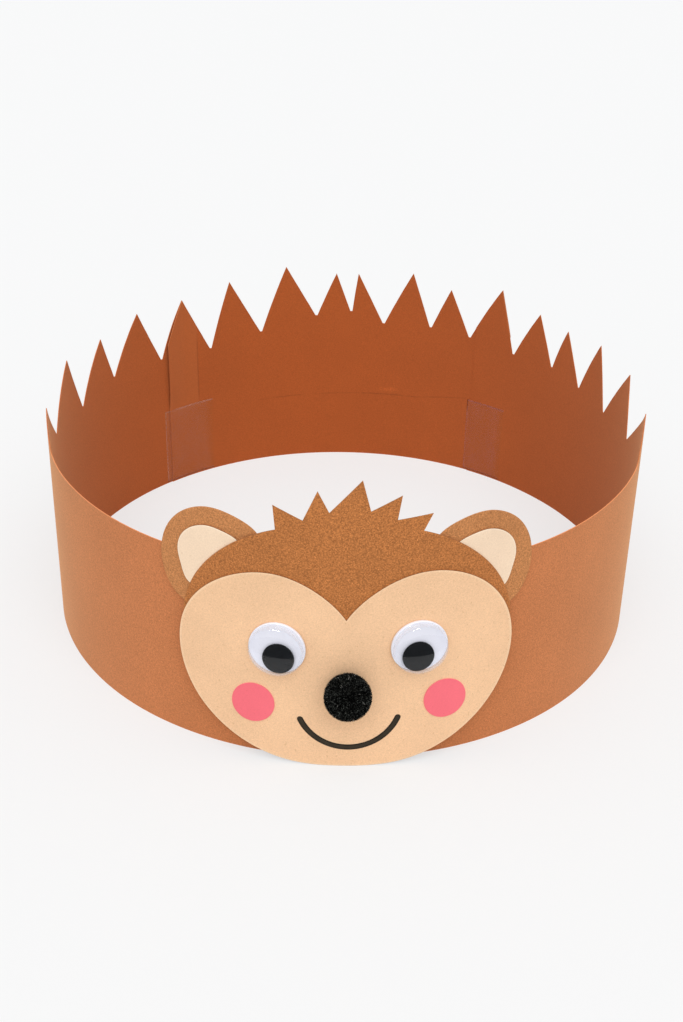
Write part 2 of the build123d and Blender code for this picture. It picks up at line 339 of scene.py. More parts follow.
# The camera stands where the photograph was taken, in millimetres and degrees.
CAMERA_PLACE = (-0.6, -401.96, 258.75)
CAMERA_PITCH = 30.115
CAMERA_ROLL = 1.1
CAMERA_LENS = 52.68
SENSOR_WIDTH = 36.0

# The floor reaches this many metres. Gloss sees it end this far from the ring's middle, over a short
# fade. It has one tone as light falls from it, and another, with a glow, where it is looked at.
FLOOR_REACH = 6.0
FLOOR_EDGE = 147.0
FLOOR_FADE = 3.0
FLOOR_TONE = (0.60, 0.60, 0.60)
FLOOR_SEEN = (0.88, 0.89, 0.895)
FLOOR_GLOW = (0.915, 0.915, 0.917, 1)
FLOOR_GLOW_SHARE = 0.65
FLOOR_DARK = (0.05, 0.05, 0.05, 1)

# The room's light, the tone that is seen of it, the lamp, and the softbox that only gloss sees.
ROOM_STRENGTH = 0.75
BACKDROP = (0.945, 0.95, 0.95, 1)
KEY_DIRECTION = (-0.06, 0.95, -1.3)
KEY_SPREAD = 60
KEY_STRENGTH = 1.5
SOFTBOX_DIRECTION = (0.15, 0.05, -1.0)
SOFTBOX_DISTANCE = 1150
SOFTBOX_SIZE = 620
SOFTBOX_STRENGTH = 19.0


class CrownColours(bpy.types.PropertyGroup):
    """The papers' and plastics' own colours."""

    band: bpy.props.FloatVectorProperty(
        name="Band card", description="Red-brown card of the ring",
        subtype="COLOR", size=3, min=0, max=1, default=(0.64, 0.219, 0.079),
    )
    band_inside: bpy.props.FloatVectorProperty(
        name="Band card inside", description="Deeper tone of the ring's inner face",
        subtype="COLOR", size=3, min=0, max=1, default=(0.525, 0.122, 0.0265),
    )
    head: bpy.props.FloatVectorProperty(
        name="Head card", description="Golden-brown card of the head",
        subtype="COLOR", size=3, min=0, max=1, default=(0.60, 0.217, 0.062),
    )
    ear: bpy.props.FloatVectorProperty(
        name="Ear card", description="Slightly paler brown card of the ears",
        subtype="COLOR", size=3, min=0, max=1, default=(0.645, 0.268, 0.096),
    )
    cream: bpy.props.FloatVectorProperty(
        name="Face card", description="Cream card of the face",
        subtype="COLOR", size=3, min=0, max=1, default=(0.95, 0.612, 0.366),
    )
    inner_ear: bpy.props.FloatVectorProperty(
        name="Inner ear card", description="Paler cream card inside the ears",
        subtype="COLOR", size=3, min=0, max=1, default=(0.965, 0.74, 0.54),
    )
    pink: bpy.props.FloatVectorProperty(
        name="Cheek paper", description="Coral-pink paper of the cheeks",
        subtype="COLOR", size=3, min=0, max=1, default=(0.98, 0.176, 0.222),
    )
    ink: bpy.props.FloatVectorProperty(
        name="Marker ink", description="Dark ink of the mouth",
        subtype="COLOR", size=3, min=0, max=1, default=(0.036, 0.028, 0.018),
    )
    eye_white: bpy.props.FloatVectorProperty(
        name="Eye white", description="White plastic behind the pupils",
        subtype="COLOR", size=3, min=0, max=1, default=(0.85, 0.86, 0.955),
    )


class CrownFinish(bpy.types.PropertyGroup):
    """How much the hand-cut card has moved, and how thick the pompom's pile is."""

    ring_wave: bpy.props.FloatProperty(
        name="Ring wave", description="How far the ring's wall strays from a true circle",
        unit="LENGTH", min=0, max=0.001, default=0.00015,
    )
    edge_lift: bpy.props.FloatProperty(
        name="Edge lift", description="How far the glued sheets' free edges stand off",
        unit="LENGTH", min=0, max=0.001, default=0.00018,
    )
    pile_ends: bpy.props.IntProperty(
        name="Pile ends", description="Cut yarn ends on the pompom",
        min=500, max=12000, default=9000,
    )
    pile_length: bpy.props.FloatProperty(
        name="Pile length", description="How far the pompom's yarn ends stand out of its core",
        unit="LENGTH", min=0.0002, max=0.003, default=0.0011,
    )


def polar(radius, angle):
    """Points of the floor plane: the radius times the cosine and sine of the angle in degrees."""
    turn = np.radians(angle)
    return np.stack([radius * np.cos(turn), radius * np.sin(turn)], axis=-1)


def swung(across, up, turn):
    """Two values as a point of a plane, turned anticlockwise about its middle by an angle in radians."""
    c, s = math.cos(turn), math.sin(turn)
    return across * c - up * s, across * s + up * c


def smooth_step(low, high, value):
    """0 below low, 1 above high, and 3t^2 - 2t^3 between."""
    t = np.clip((value - low) / (high - low), 0, 1)
    return t * t * (3 - 2 * t)


def ripple(across, along, seed):
    """Soft uneven wave between -1 and 1: five sines of rising pitch with seeded turns, added up."""
    random = np.random.default_rng(seed)
    total = np.zeros(np.broadcast(across, along).shape)
    for pitch in (1.0, 1.7, 2.9, 4.3, 6.1):
        turn, phase = random.uniform(0, 2 * np.pi, 2)
        total += np.sin(pitch * (across * np.cos(turn) + along * np.sin(turn)) + phase) / pitch
    return total / 2


def spline(points, step, closed=False):
    """Smooth curve through the points, sampled about every step millimetres.

    In each span it is the cubic with the two end points and slopes. The slopes make the bend run on
    smoothly from span to span, so they solve one linear system. An open curve starts and ends with the
    slope of the cubic through its four outermost points.
    """
    knots = np.array(points + points[:1] if closed else points, float)
    spans = np.linalg.norm(np.diff(knots, axis=0), axis=1)
    times = np.concatenate([[0], np.cumsum(spans)])
    rates = np.diff(knots, axis=0) / spans[:, None]
    count = len(points)
    system = np.eye(count)
    wanted = np.zeros((count, 2))
    inner = np.arange(count) if closed else np.arange(1, count - 1)
    before, after = (inner - 1) % len(spans), inner
    system[inner, (inner - 1) % count] = spans[after]
    system[inner, inner] = 2 * (spans[before] + spans[after])
    system[inner, (inner + 1) % count] = spans[before]
    wanted[inner] = 3 * (spans[after, None] * rates[before] + spans[before, None] * rates[after])
    if not closed:
        wanted[0] = np.polyfit(times[:4] - times[0], knots[:4], 3)[2]
        wanted[-1] = np.polyfit(times[-4:] - times[-1], knots[-4:], 3)[2]
    slopes = np.linalg.solve(system, wanted)
    slopes = np.concatenate([slopes, slopes[:1]]) if closed else slopes
    samples = [np.linspace(0, 1, max(2, int(span / step)), endpoint=False) for span in spans]
    t = np.concatenate(samples)[:, None]
    part = np.repeat(np.arange(len(spans)), [len(each) for each in samples])
    span = spans[part, None]
    curve = (
        (2 * t**3 - 3 * t**2 + 1) * knots[part] + (t**3 - 2 * t**2 + t) * span * slopes[part]
        + (3 * t**2 - 2 * t**3) * knots[part + 1] + (t**3 - t**2) * span * slopes[part + 1]
    )
    return curve if closed else np.concatenate([curve, knots[-1:]])


def straight(points, step):
    """Broken line through the points, sampled about every step millimetres."""
    knots = np.array(points, float)
    parts = []
    for start, end in zip(knots[:-1], knots[1:]):
        count = max(2, int(np.linalg.norm(end - start) / step))
        parts.append(start + (end - start) * np.linspace(0, 1, count, endpoint=False)[:, None])
    return np.concatenate(parts + [knots[-1:]])


def grid_faces(rows, columns, around):
    """Quads of a grid whose points run row by row. Around joins the last column to the first."""
    last = columns if around else columns - 1
    row, column = np.meshgrid(np.arange(rows - 1), np.arange(last), indexing="ij")
    beside = (column + 1) % columns
    corners = [row * columns + column, row * columns + beside]
    corners += [(row + 1) * columns + beside, (row + 1) * columns + column]
    return np.stack(corners, axis=-1).reshape(-1, 4).tolist()


def fan(first, columns, pole):
    """Triangles from a ring of points, numbered from first, to one pole."""
    ring = np.arange(columns)
    beside = (ring + 1) % columns
    return np.stack([first + ring, first + beside, np.full(columns, pole)], axis=-1).tolist()


def volume(points, faces):
    """Six times the volume inside the faces: each one, as triangles from its first corner, makes a
    tetrahedron with the origin."""
    middle = points.mean(axis=0)
    total = 0.0
    for size in (3, 4):
        chosen = np.array([face for face in faces if len(face) == size])
        for corner in range(1, size - 1):
            if len(chosen):
                a, b, c = (points[chosen[:, k]] - middle for k in (0, corner, corner + 1))
                total += np.einsum("ij,ij->", a, np.cross(b, c))
    return total


def make_piece(name, shape, material, nodes, sharp=50.0):
    """Mesh of a shape in millimetres, shown in place of the frame's nodes.

    A shape is points, faces and marks, which are named values, one for each point, that the material
    reads. The faces are turned over if the volume inside them is negative, so that they point
    outwards.
    """
    points, faces, marks = shape
    if not np.isfinite(points).all():
        raise RuntimeError(f"{name} has a point that isn't a number")
    if volume(points, faces) < 0:
        faces = [face[::-1] for face in faces]
    mesh = bpy.data.meshes.new(name)
    mesh.from_pydata((points * MM).tolist(), [], faces)
    mesh.shade_smooth()
    mesh.set_sharp_from_angle(angle=math.radians(sharp))
    for label, values in marks.items():
        layer = mesh.attributes.new(label, "FLOAT", "POINT")
        layer.data.foreach_set("value", np.asarray(values, np.float32))
    mesh.update()
    piece = bpy.data.objects.new(name, mesh)
    bpy.context.scene.collection.objects.link(piece)
    mesh.materials.append(material)
    body = frame["nodes"][nodes[0]]["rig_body"]
    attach(piece, body)
    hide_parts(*nodes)
    return piece


def cut_height(places):
    """Height of the ring's top edge at places of the floor plane.

    In the plane that touches the ring at a notch, the edge is flat on the notch's floor. It rises to
    the tip on one side along a straight line and on the other along the arc of a circle, which has the
    given bow over its chord. Past the shoulders it is the plain front edge.
    """
    angle = np.degrees(np.arctan2(places[:, 1], places[:, 0]))
    angle = np.where(angle < -90, angle + 360, angle)
    height = np.full(len(places), BAND_HEIGHT)

    def across(at):
        turn = math.radians(at)
        return places[:, 1] * math.cos(turn) - places[:, 0] * math.sin(turn)

    def tip(at, spike):
        return np.array([
            BAND_RADIUS * math.sin(math.radians(SPIKE_ANGLES[spike] - at)),
            BAND_HEIGHT + SPIKE_RISES[spike],
        ])

    for shoulder, spike in ((SHOULDERS[0], 0), (SHOULDERS[1] - 360, len(SPIKE_ANGLES) - 1)):
        reach, top = tip(shoulder, spike)
        share = across(shoulder) / reach
        low, high = sorted((shoulder, SPIKE_ANGLES[spike]))
        there = (angle >= low) & (angle <= high)
        height = np.where(there, BAND_HEIGHT + share * (top - BAND_HEIGHT), height)
    for notch, at in enumerate(NOTCH_ANGLES):
        floor = BAND_HEIGHT - NOTCH_DEPTHS[notch]
        x = across(at)
        left, right = tip(at, notch), tip(at, notch + 1)
        rise = (x - NOTCH_FLOOR / 2) / (left[0] - NOTCH_FLOOR / 2)
        line = floor + rise * (left[1] - floor)
        start = np.array([-NOTCH_FLOOR / 2, floor])
        chord = right - start
        length = np.linalg.norm(chord)
        normal = np.array([chord[1], -chord[0]]) / length
        bow = SPIKE_BOWS[notch + 1]
        radius = (length**2 / 4 + bow**2) / (2 * bow)
        middle = (start + right) / 2 - normal * (radius - bow)
        arc = middle[1] + np.sqrt(np.maximum(radius**2 - (x - middle[0]) ** 2, 0))
        cut = np.where(x > NOTCH_FLOOR / 2, line, np.where(x < -NOTCH_FLOOR / 2, arc, floor))
        there = (angle <= SPIKE_ANGLES[notch] + 1e-6) & (angle >= SPIKE_ANGLES[notch + 1] - 1e-6)
        height = np.where(there, cut, height)
    return height


def stray(angle, height, wave):
    """How far the ring's wall stands out from its true circle, in millimetres.

    A slow uneven wave runs round it, and dies out at the front where the head is glued, and where the
    ring is widest. Each spike curls inwards with the square of its height above the notches.
    """
    turn = np.radians(angle)
    free = (1 - smooth_step(*WAVE_FRONT, -np.sin(turn))) * np.abs(np.sin(2 * turn))
    slow = ripple(WAVE_PITCH * np.cos(turn), WAVE_PITCH * np.sin(turn) + height / WAVE_DRIFT, seed=7)
    curls = np.interp(np.mod(angle + 90, 360), np.array(SPIKE_ANGLES[::-1]) + 90, SPIKE_CURLS[::-1])
    above = np.clip(height - (BAND_HEIGHT - CURL_START), 0, None) / CURL_REACH
    return wave * slow * free - curls * above**2


def closed_wall(front, rear):
    """Closed solid from two grids of points of one size: their faces, and a rim round all four sides."""
    rows, columns = front.shape[:2]
    count = rows * columns
    index = np.arange(count).reshape(rows, columns)
    ring = np.concatenate([index[0, :-1], index[:-1, -1], index[-1, :0:-1], index[:0:-1, 0]])
    beside = np.roll(ring, -1)
    faces = grid_faces(rows, columns, False)
    back = (np.array(faces)[:, ::-1] + count).tolist()
    rim = np.stack([beside, ring, ring + count, beside + count], axis=-1).tolist()
    return np.concatenate([front, rear]).reshape(-1, 3), faces + back + rim


def strip_columns(start, end, centre):
    """Angles of a strip's columns about its own centre: at even steps, and at each tip, notch corner
    and shoulder."""
    half_floor = math.degrees(NOTCH_FLOOR / 2 / BAND_RADIUS)
    corners = [notch + side for notch in NOTCH_ANGLES for side in (-half_floor, half_floor)]
    breaks = np.array(SPIKE_ANGLES + corners + list(SHOULDERS))
    breaks = np.concatenate([breaks, breaks + 360])
    seen = polar(BAND_RADIUS, breaks) - centre
    own = np.degrees(np.arctan2(seen[:, 1], seen[:, 0]))
    breaks = own + 360 * np.round((breaks - own) / 360)
    breaks = breaks[(breaks > start + 2 * END_COLUMN) & (breaks < end - 2 * END_COLUMN)]
    even = np.arange(start + STRIP_STEP, end - 0.8 * STRIP_STEP, STRIP_STEP)
    even = even[np.abs(even[:, None] - breaks[None]).min(axis=1) > COLUMN_SPACE]
    ends = [start, start + END_COLUMN, end - END_COLUMN, end]
    return np.sort(np.concatenate([ends, even, breaks]))


def strip_points(start, end, shift, wave):
    """Wall of one strip: each column is the same profile at one angle, stretched up to the cut edge
    there, and its two faces are a card's thickness apart. Marks tell its long edges, of which the
    spiked stretch shows its cut less, and its inner face."""
    centre = polar(shift, SEAM_MIDDLE - 90)
    columns = strip_columns(start, end, centre)
    top = cut_height(centre + polar(BAND_RADIUS, columns))
    spiked = np.abs(top - BAND_HEIGHT) > 0.01
    snips = ripple(columns * CUT_PITCH[0], columns * CUT_PITCH[1], seed=11)
    top = top + np.where(spiked, RAGGED_CUT, PLAIN_CUT) * snips
    shares = np.linspace(0, 1, STRIP_ROWS)[:, None]
    between = STRIP_EDGE_ROW + (top - 2 * STRIP_EDGE_ROW) * shares
    heights = np.concatenate([top[None] * 0, between, top[None]])
    grids = []
    for radius in (BAND_RADIUS + CARD, BAND_RADIUS):
        far = radius + stray(columns, heights, wave)
        if shift:
            near_end = smooth_step(SEAM_LIFT_RUN, 0, (end - columns) * math.radians(radius))
            risen = smooth_step(*SEAM_LIFT_RISE, heights - TAPE_TOP)
            far -= SEAM_LIFT * near_end * risen
        floor = centre + far[..., None] * polar(1.0, columns)
        grids.append(np.concatenate([floor, heights[..., None]], axis=-1))
    inside = np.repeat([0.0, 1.0], heights.size)
    cut_rows = np.zeros((2, *heights.shape))
    cut_rows[:, 0] = 1.0
    cut_rows[:, -1] = np.where(spiked, SPIKE_CUT_SHARE, 1.0)
    return *closed_wall(*grids), {"cut_edge": cut_rows.ravel(), "inside": inside}


def tape_points(seam, length, shift, far_radius, wave, seed, edge_shares):
    """Film on the ring's inside: it follows one strip's arc to the seam, and steps out in a smooth
    S onto the other strip. Small blisters stand off the card where it was pressed down unevenly.
    Marks tell its upper and outer edges and its foot, which take painted highlight and shadow, and how
    cloudy its inner face is along its length."""
    inside = BAND_RADIUS - TAPE_GAP - TAPE
    centre = polar(shift, SEAM_MIDDLE - 90)
    turn = math.degrees(length / inside)
    over = seam + math.degrees(TAPE_BRIDGE / inside)
    turns = np.linspace(seam - turn + TAPE_EDGE_COLUMN, seam, TAPE_COLUMNS)
    arc = centre + polar(inside, np.concatenate([[seam - turn], turns]))
    at = np.linspace(0, 1, TAPE_STEP_COLUMNS + 1)[1:]
    near, far = np.linalg.norm(arc[-1]), far_radius - TAPE_GAP - TAPE
    step = polar(near + (far - near) * smooth_step(0, 1, at), seam + (over - seam) * at)
    path = np.concatenate([arc, step])
    inner_height = np.linspace(TAPE_BASE + TAPE_EDGE_ROW, TAPE_TOP - TAPE_EDGE_ROW, TAPE_ROWS)
    heights = np.concatenate([[TAPE_BASE], inner_height, [TAPE_TOP]])
    angle = np.degrees(np.arctan2(path[:, 1], path[:, 0]))
    reach = np.linalg.norm(path, axis=1)
    along = np.concatenate([[0], np.cumsum(np.linalg.norm(np.diff(path, axis=0), axis=1))])
    wide, tall = BLISTER_SIZE
    blister = ripple(along[None] / wide, heights[:, None] / tall, seed)
    inwards = TAPE_BLISTER * np.clip(blister - BLISTER_RARITY, 0, None)
    grids = []
    for thickness in (TAPE, 0.0):
        out = reach + thickness + stray(angle, heights[:, None], wave) - inwards
        floor = out[..., None] * polar(1.0, angle)
        above = np.broadcast_to(heights[:, None, None], (*out.shape, 1))
        grids.append(np.concatenate([floor, above], axis=-1))
    marks = {name: np.zeros((2, *out.shape)) for name in ("cut_edge", "foot_edge", "cloudy")}
    top_share, low_share = edge_shares
    risen = smooth_step(*TAPE_EDGE_FADE, heights - TAPE_TOP)[:, None]
    marks["cut_edge"][:, -2:] = top_share
    marks["cut_edge"][:, :, -2:] = low_share + (1 - low_share) * risen
    marks["foot_edge"][:, :2] = 1.0
    marks["cloudy"][1] = smooth_step(0, TAPE_CLEAR_START, along)
    return *closed_wall(*grids), {name: mark.ravel() for name, mark in marks.items()}


def on_head(points):
    """Points of the head's pieces, leant back about the head's foot, turned with the head and set down
    before the ring."""
    y, z = swung(points[..., 1] + FACE_FRONT, points[..., 2], -HEAD_LEAN)
    x, y = swung(points[..., 0], y - FOOT_DISTANCE, math.radians(HEAD_TURN))
    return np.stack([x, y, z + FOOT_LIFT], axis=-1)


def sheet_points(outline, centre, radius, thickness, lift):
    """Closed sheet: a profile across half the sheet is carried round its outline.

    The profile runs from the centre out to the edge along the front, over the cut edge, and back to
    the centre along the rear. Each point is then bent onto a cylinder: its depth is the cylinder's
    radius, so y is minus the root of radius squared less width squared. Lift is a function of the flat
    place and of the distance from the edge. The mark is 1 on the cut edge, whose tone is painted shade
    where it is darker than the card, and -1 on the rim beside it, which takes the painted highlight.
    """
    centre = np.array(centre, float)
    reach = np.linalg.norm(outline - centre, axis=1)
    corner = min(EDGE_EASE, thickness / 4)
    insets = [share * reach for share in SHEET_ROWS]
    insets += [np.minimum(far, share * reach) for far, share in EDGE_ROWS]
    insets += [np.full(len(outline), corner)]
    count = len(insets)
    edge = [np.zeros(len(outline))] * 2
    all_insets = np.array(insets + edge + insets[::-1])
    depths = [thickness] * count + [thickness - corner, corner] + [0.0] * count
    depths = np.array(depths)[:, None] + np.zeros(len(outline))
    marks = np.zeros(all_insets.shape)
    marks[count - 2 : count] = -1.0
    marks[count : count + 2] = 1.0
    flat = outline[None] + (centre - outline)[None] * (all_insets / reach)[..., None]
    poles = np.array([centre, centre])
    flat = np.concatenate([flat.reshape(-1, 2), poles])
    depth = np.concatenate([depths.ravel(), [thickness, 0.0]])
    away = np.concatenate([all_insets.ravel(), [reach.min()] * 2])
    out = radius + depth + lift(flat[:, 0], flat[:, 1], away)
    points = np.stack([flat[:, 0], -np.sqrt(out**2 - flat[:, 0] ** 2), flat[:, 1]], axis=-1)
    columns = len(outline)
    rows = len(all_insets)
    faces = grid_faces(rows, columns, True)
    faces += fan(0, columns, rows * columns)
    faces += [face[::-1] for face in fan((rows - 1) * columns, columns, rows * columns + 1)]
    return on_head(points), faces, {"cut_edge": np.concatenate([marks.ravel(), [0.0, 0.0]])}


def add(tree, kind, at=(0, 0), **values):
    """One shader node, with its settings and its unlinked inputs by name."""
    node = tree.nodes.new("ShaderNode" + kind)
    node.location = at
    for key, value in values.items():
        name = key.replace("_", " ")
        if hasattr(node, key):
            setattr(node, key, value)
        else:
            node.inputs[name].default_value = value
    return node


def noise(tree, source, scale, detail, rough=0.5, kind="FBM"):
    """Noise texture over the piece's own place, as a factor."""
    node = add(tree, "TexNoise", Scale=scale, Detail=detail, Roughness=rough)
    node.noise_type = kind
    tree.links.new(source, node.inputs["Vector"])
    return node.outputs["Fac"]


def ramp(tree, source, low, high, flip=False):
    """Factor that climbs from 0 at low to 1 at high, or falls if flipped."""
    node = add(tree, "MapRange", clamp=True)
    node.inputs["From Min"].default_value = low
    node.inputs["From Max"].default_value = high
    node.inputs["To Min"].default_value = 1.0 if flip else 0.0
    node.inputs["To Max"].default_value = 0.0 if flip else 1.0
    tree.links.new(source, node.inputs["Value"])
    return node.outputs["Result"]


def blend(tree, amount, first, second):
    """Mix of two colours, each a socket or three numbers, by a factor socket or number."""
    node = add(tree, "Mix", data_type="RGBA")
    for socket, value in ((node.inputs[0], amount), (node.inputs[6], first), (node.inputs[7], second)):
        if isinstance(value, bpy.types.NodeSocket):
            tree.links.new(value, socket)
        elif isinstance(value, (int, float)):
            socket.default_value = value
        else:
            socket.default_value = (*value, 1.0)
    return node.outputs[2]


def math_node(tree, operation, first, second=0.0, third=0.0):
    """Sum, product or other operation on two or three values, each a socket or a number."""
    node = add(tree, "Math", operation=operation)
    for socket, value in zip(node.inputs, (first, second, third)):
        if isinstance(value, bpy.types.NodeSocket):
            tree.links.new(value, socket)
        else:
            socket.default_value = value
    return node.outputs["Value"]


def times(tree, first, second):
    """Product of two values, each a socket or a number."""
    return math_node(tree, "MULTIPLY", first, second)


def tone(colour, factor):
    """The colour lightened or darkened by a factor."""
    return tuple(min(1.0, channel * factor) for channel in colour)


def tree_tone(tree, colour, factor):
    """The colour socket times a factor, which is one number or one for each channel."""
    node = add(tree, "VectorMath", operation="MULTIPLY")
    tree.links.new(colour, node.inputs[0])
    node.inputs[1].default_value = factor if isinstance(factor, tuple) else (factor,) * 3
    return node.outputs[0]


def by_channel(strength, shares):
    """One factor for each channel: 1 plus the strength times the channel's share."""
    return tuple(1 + strength * share for share in shares)


def mark_of(tree, label):
    """The piece's mark of that name, as a factor."""
    return add(tree, "Attribute", attribute_name=label).outputs["Fac"]


def mix_shaders(tree, amount, first, second):
    """Mix of two shaders by a factor socket."""
    mix = add(tree, "MixShader")
    for socket, source in zip(mix.inputs, (amount, first, second)):
        tree.links.new(source, socket)
    return mix.outputs[0]


def bumpy(tree, shader, height, strength, distance):
    """Bump from a height factor into a shader, with its strength and its depth in metres."""
    bump = add(tree, "Bump", Strength=strength, Distance=distance)
    tree.links.new(height, bump.inputs["Height"])
    tree.links.new(bump.outputs["Normal"], shader.inputs["Normal"])


def new_material(name):
    """Node material with one principled shader: the material, its tree, the shader and the output."""
    material = bpy.data.materials.new(name)
    material.use_nodes = True
    tree = material.node_tree
    tree.nodes.clear()
    output = add(tree, "OutputMaterial", (600, 0))
    shader = add(tree, "BsdfPrincipled", (300, 0))
    tree.links.new(shader.outputs["BSDF"], output.inputs["Surface"])
    return material, tree, shader, output


def shader_of(material):
    """The material's principled shader."""
    return next(node for node in material.node_tree.nodes if node.type == "BSDF_PRINCIPLED")


def place_of(tree):
    """The piece's own place in metres, as a vector socket."""
    return add(tree, "TexCoord", (-1200, 0)).outputs["Object"]


def card_material(name, colour, grain, fleck, edge, rim_highlight=0.0, sheen=0.3, extra=None):
    """Matt card: cloudy tone, fine grain, long fibres, scattered flecks, a painted highlight on the rim,
    by the strength given, and a cut edge of its own tone, which is painted shade where that tone is
    darker than the card. Extra adds what this card alone bears."""
    material, tree, shader, _ = new_material(name)
    place = place_of(tree)
    cloud = noise(tree, place, *CARD_CLOUD)
    mottle = noise(tree, place, *CARD_MOTTLE)
    fine = noise(tree, place, *CARD_GRAIN)
    fibre = noise(tree, place, *CARD_FIBRE)
    speck = noise(tree, place, *CARD_SPECK)
    base = blend(tree, ramp(tree, cloud, 0.3, 0.7), tone(colour, 0.95), tone(colour, 1.05))
    base = blend(tree, ramp(tree, mottle, 0.36, 0.64), tree_tone(tree, base, 1 - grain), base)
    bright = by_channel(1.9 * grain, GRAIN_SHARES)
    base = blend(tree, ramp(tree, fine, 0.62, 0.8), base, tree_tone(tree, base, bright))
    base = blend(tree, ramp(tree, fine, 0.22, 0.4, True), base, tree_tone(tree, base, 1 - 1.4 * grain))
    dark = by_channel(-fleck, FLECK_SHARES)
    base = blend(tree, ramp(tree, speck, 0.70, 0.76), base, tree_tone(tree, base, dark))
    pale_speck = ramp(tree, speck, 0.26, 0.31, True)
    base = blend(tree, pale_speck, base, tree_tone(tree, base, 1 + 0.35 * fleck))
    if extra:
        base = extra(tree, place, base)
    mark = mark_of(tree, "cut_edge")
    # Painted highlight on the rim beside the cut edge, then the cut edge's tone, which is painted shade
    # where it is darker than the card.
    pale = by_channel(rim_highlight, RIM_HIGHLIGHT_SHARES)
    base = blend(tree, ramp(tree, mark, -1.0, 0.0, True), base, tree_tone(tree, base, pale))
    base = blend(tree, times(tree, ramp(tree, mark, 0.0, 1.0), 0.9), base, edge)
    tree.links.new(base, shader.inputs["Base Color"])
    shader.inputs["Roughness"].default_value = 0.88
    shader.inputs["Specular IOR Level"].default_value = 0.22
    shader.inputs["Sheen Weight"].default_value = sheen
    shader.inputs["Sheen Roughness"].default_value = 0.45
    shader.inputs["Sheen Tint"].default_value = SHEEN_TINT
    height = math_node(tree, "ADD", fine, times(tree, mottle, 0.8))
    height = math_node(tree, "ADD", height, times(tree, ramp(tree, fibre, 0.9, 1.6), 0.4))
    bumpy(tree, shader, height, 0.35, 0.00006)
    return material


def band_marks(tree, place, base):
    """What is on the strips' inner face: a deeper tone than outside, the paler lap at the left seam
    with a painted shade line along the ridge of the strip's end behind it, the painted shade of a faint
    crease along the back, and a small scuff.
    Between is 1 from low to high, and fades over a soft width."""
    colours = bpy.context.scene.crown_colours
    deeper = tuple(deep / pale for deep, pale in zip(colours.band_inside, colours.band))
    axes = add(tree, "SeparateXYZ")
    tree.links.new(place, axes.inputs[0])
    x, y, z = axes.outputs
    angle = times(tree, math_node(tree, "ARCTAN2", y, x), 180 / math.pi)
    height = times(tree, z, 1 / MM)
    inner = blend(tree, 0.4, tree_tone(tree, base, deeper), tone(colours.band_inside, 0.88))

    def between(value, low, high, soft):
        rise = ramp(tree, value, low - soft, low + soft)
        return times(tree, rise, ramp(tree, value, high - soft, high + soft, True))

    lap = times(tree, between(angle, FRONT_STRIP[0], BACK_STRIP[1], 0.15), ramp(tree, height, *LAP_START))
    inner = blend(tree, times(tree, lap, 0.30), inner, LAP_TONE)
    # Painted shade along the ridge of the front strip's end, which lies behind the lap.
    line = between(angle, FRONT_STRIP[0] - LINE_HALF, FRONT_STRIP[0] + LINE_HALF, 0.14)
    line = times(tree, line, between(height, *LINE_HEIGHTS, 2.0))
    inner = blend(tree, line, inner, tree_tone(tree, inner, 0.80))
    # Painted shade along the crease, broken up by noise.
    crease = CREASE[0][1]
    for (start, low), (end, high) in zip(CREASE[:-1], CREASE[1:]):
        climb = times(tree, ramp(tree, angle, end, start, True), high - low)
        crease = math_node(tree, "ADD", crease, climb)
    off = math_node(tree, "SUBTRACT", height, crease)
    fold = between(off, -CREASE_WIDTH, CREASE_WIDTH, CREASE_WIDTH)
    fold = times(tree, fold, between(angle, CREASE[-1][0], CREASE[0][0], 4.0))
    fold = times(tree, fold, ramp(tree, noise(tree, place, *CREASE_SHADE_BREAKS), 0.3, 0.6))
    inner = blend(tree, fold, inner, tree_tone(tree, inner, 0.74))
    scuff = times(tree, between(angle, *SCUFF_ANGLES, 0.8), between(height, *SCUFF_HEIGHTS, 0.5))
    scuff = times(tree, scuff, ramp(tree, noise(tree, place, *SCUFF_GRIT), 0.35, 0.65))
    inner = blend(tree, scuff, inner, tree_tone(tree, inner, 1.35))
    return blend(tree, mark_of(tree, "inside"), base, inner)


def clear_skin(name, facing, grazing, roughness, tint, haze_colour, haze):
    """Thin clear skin: it lets through what is behind it, mirrors one share of the room where it is
    faced and another where it is seen along, and is hazy by a factor and in a colour that the two
    functions given make."""
    material, tree, shader, output = new_material(name)
    place = place_of(tree)
    through = add(tree, "BsdfTransparent", Color=(*tint, 1))
    gloss = add(tree, "BsdfAnisotropic", Color=(1, 1, 1, 1), Roughness=roughness)
    bumpy(tree, gloss, noise(tree, place, *SKIN_RIPPLE), 0.04, 0.00003)
    along = math_node(tree, "POWER", add(tree, "LayerWeight").outputs["Facing"], 5.0)
    share = math_node(tree, "MULTIPLY_ADD", along, grazing - facing, facing)
    skin = mix_shaders(tree, share, through.outputs["BSDF"], gloss.outputs["BSDF"])
    whole = mix_shaders(tree, haze(tree, place), skin, shader.outputs["BSDF"])
    tree.links.new(whole, output.inputs["Surface"])
    shader.inputs["Roughness"].default_value = 0.6
    shader.inputs["Specular IOR Level"].default_value = 0.0
    tree.links.new(haze_colour(tree, place), shader.inputs["Base Color"])
    return material


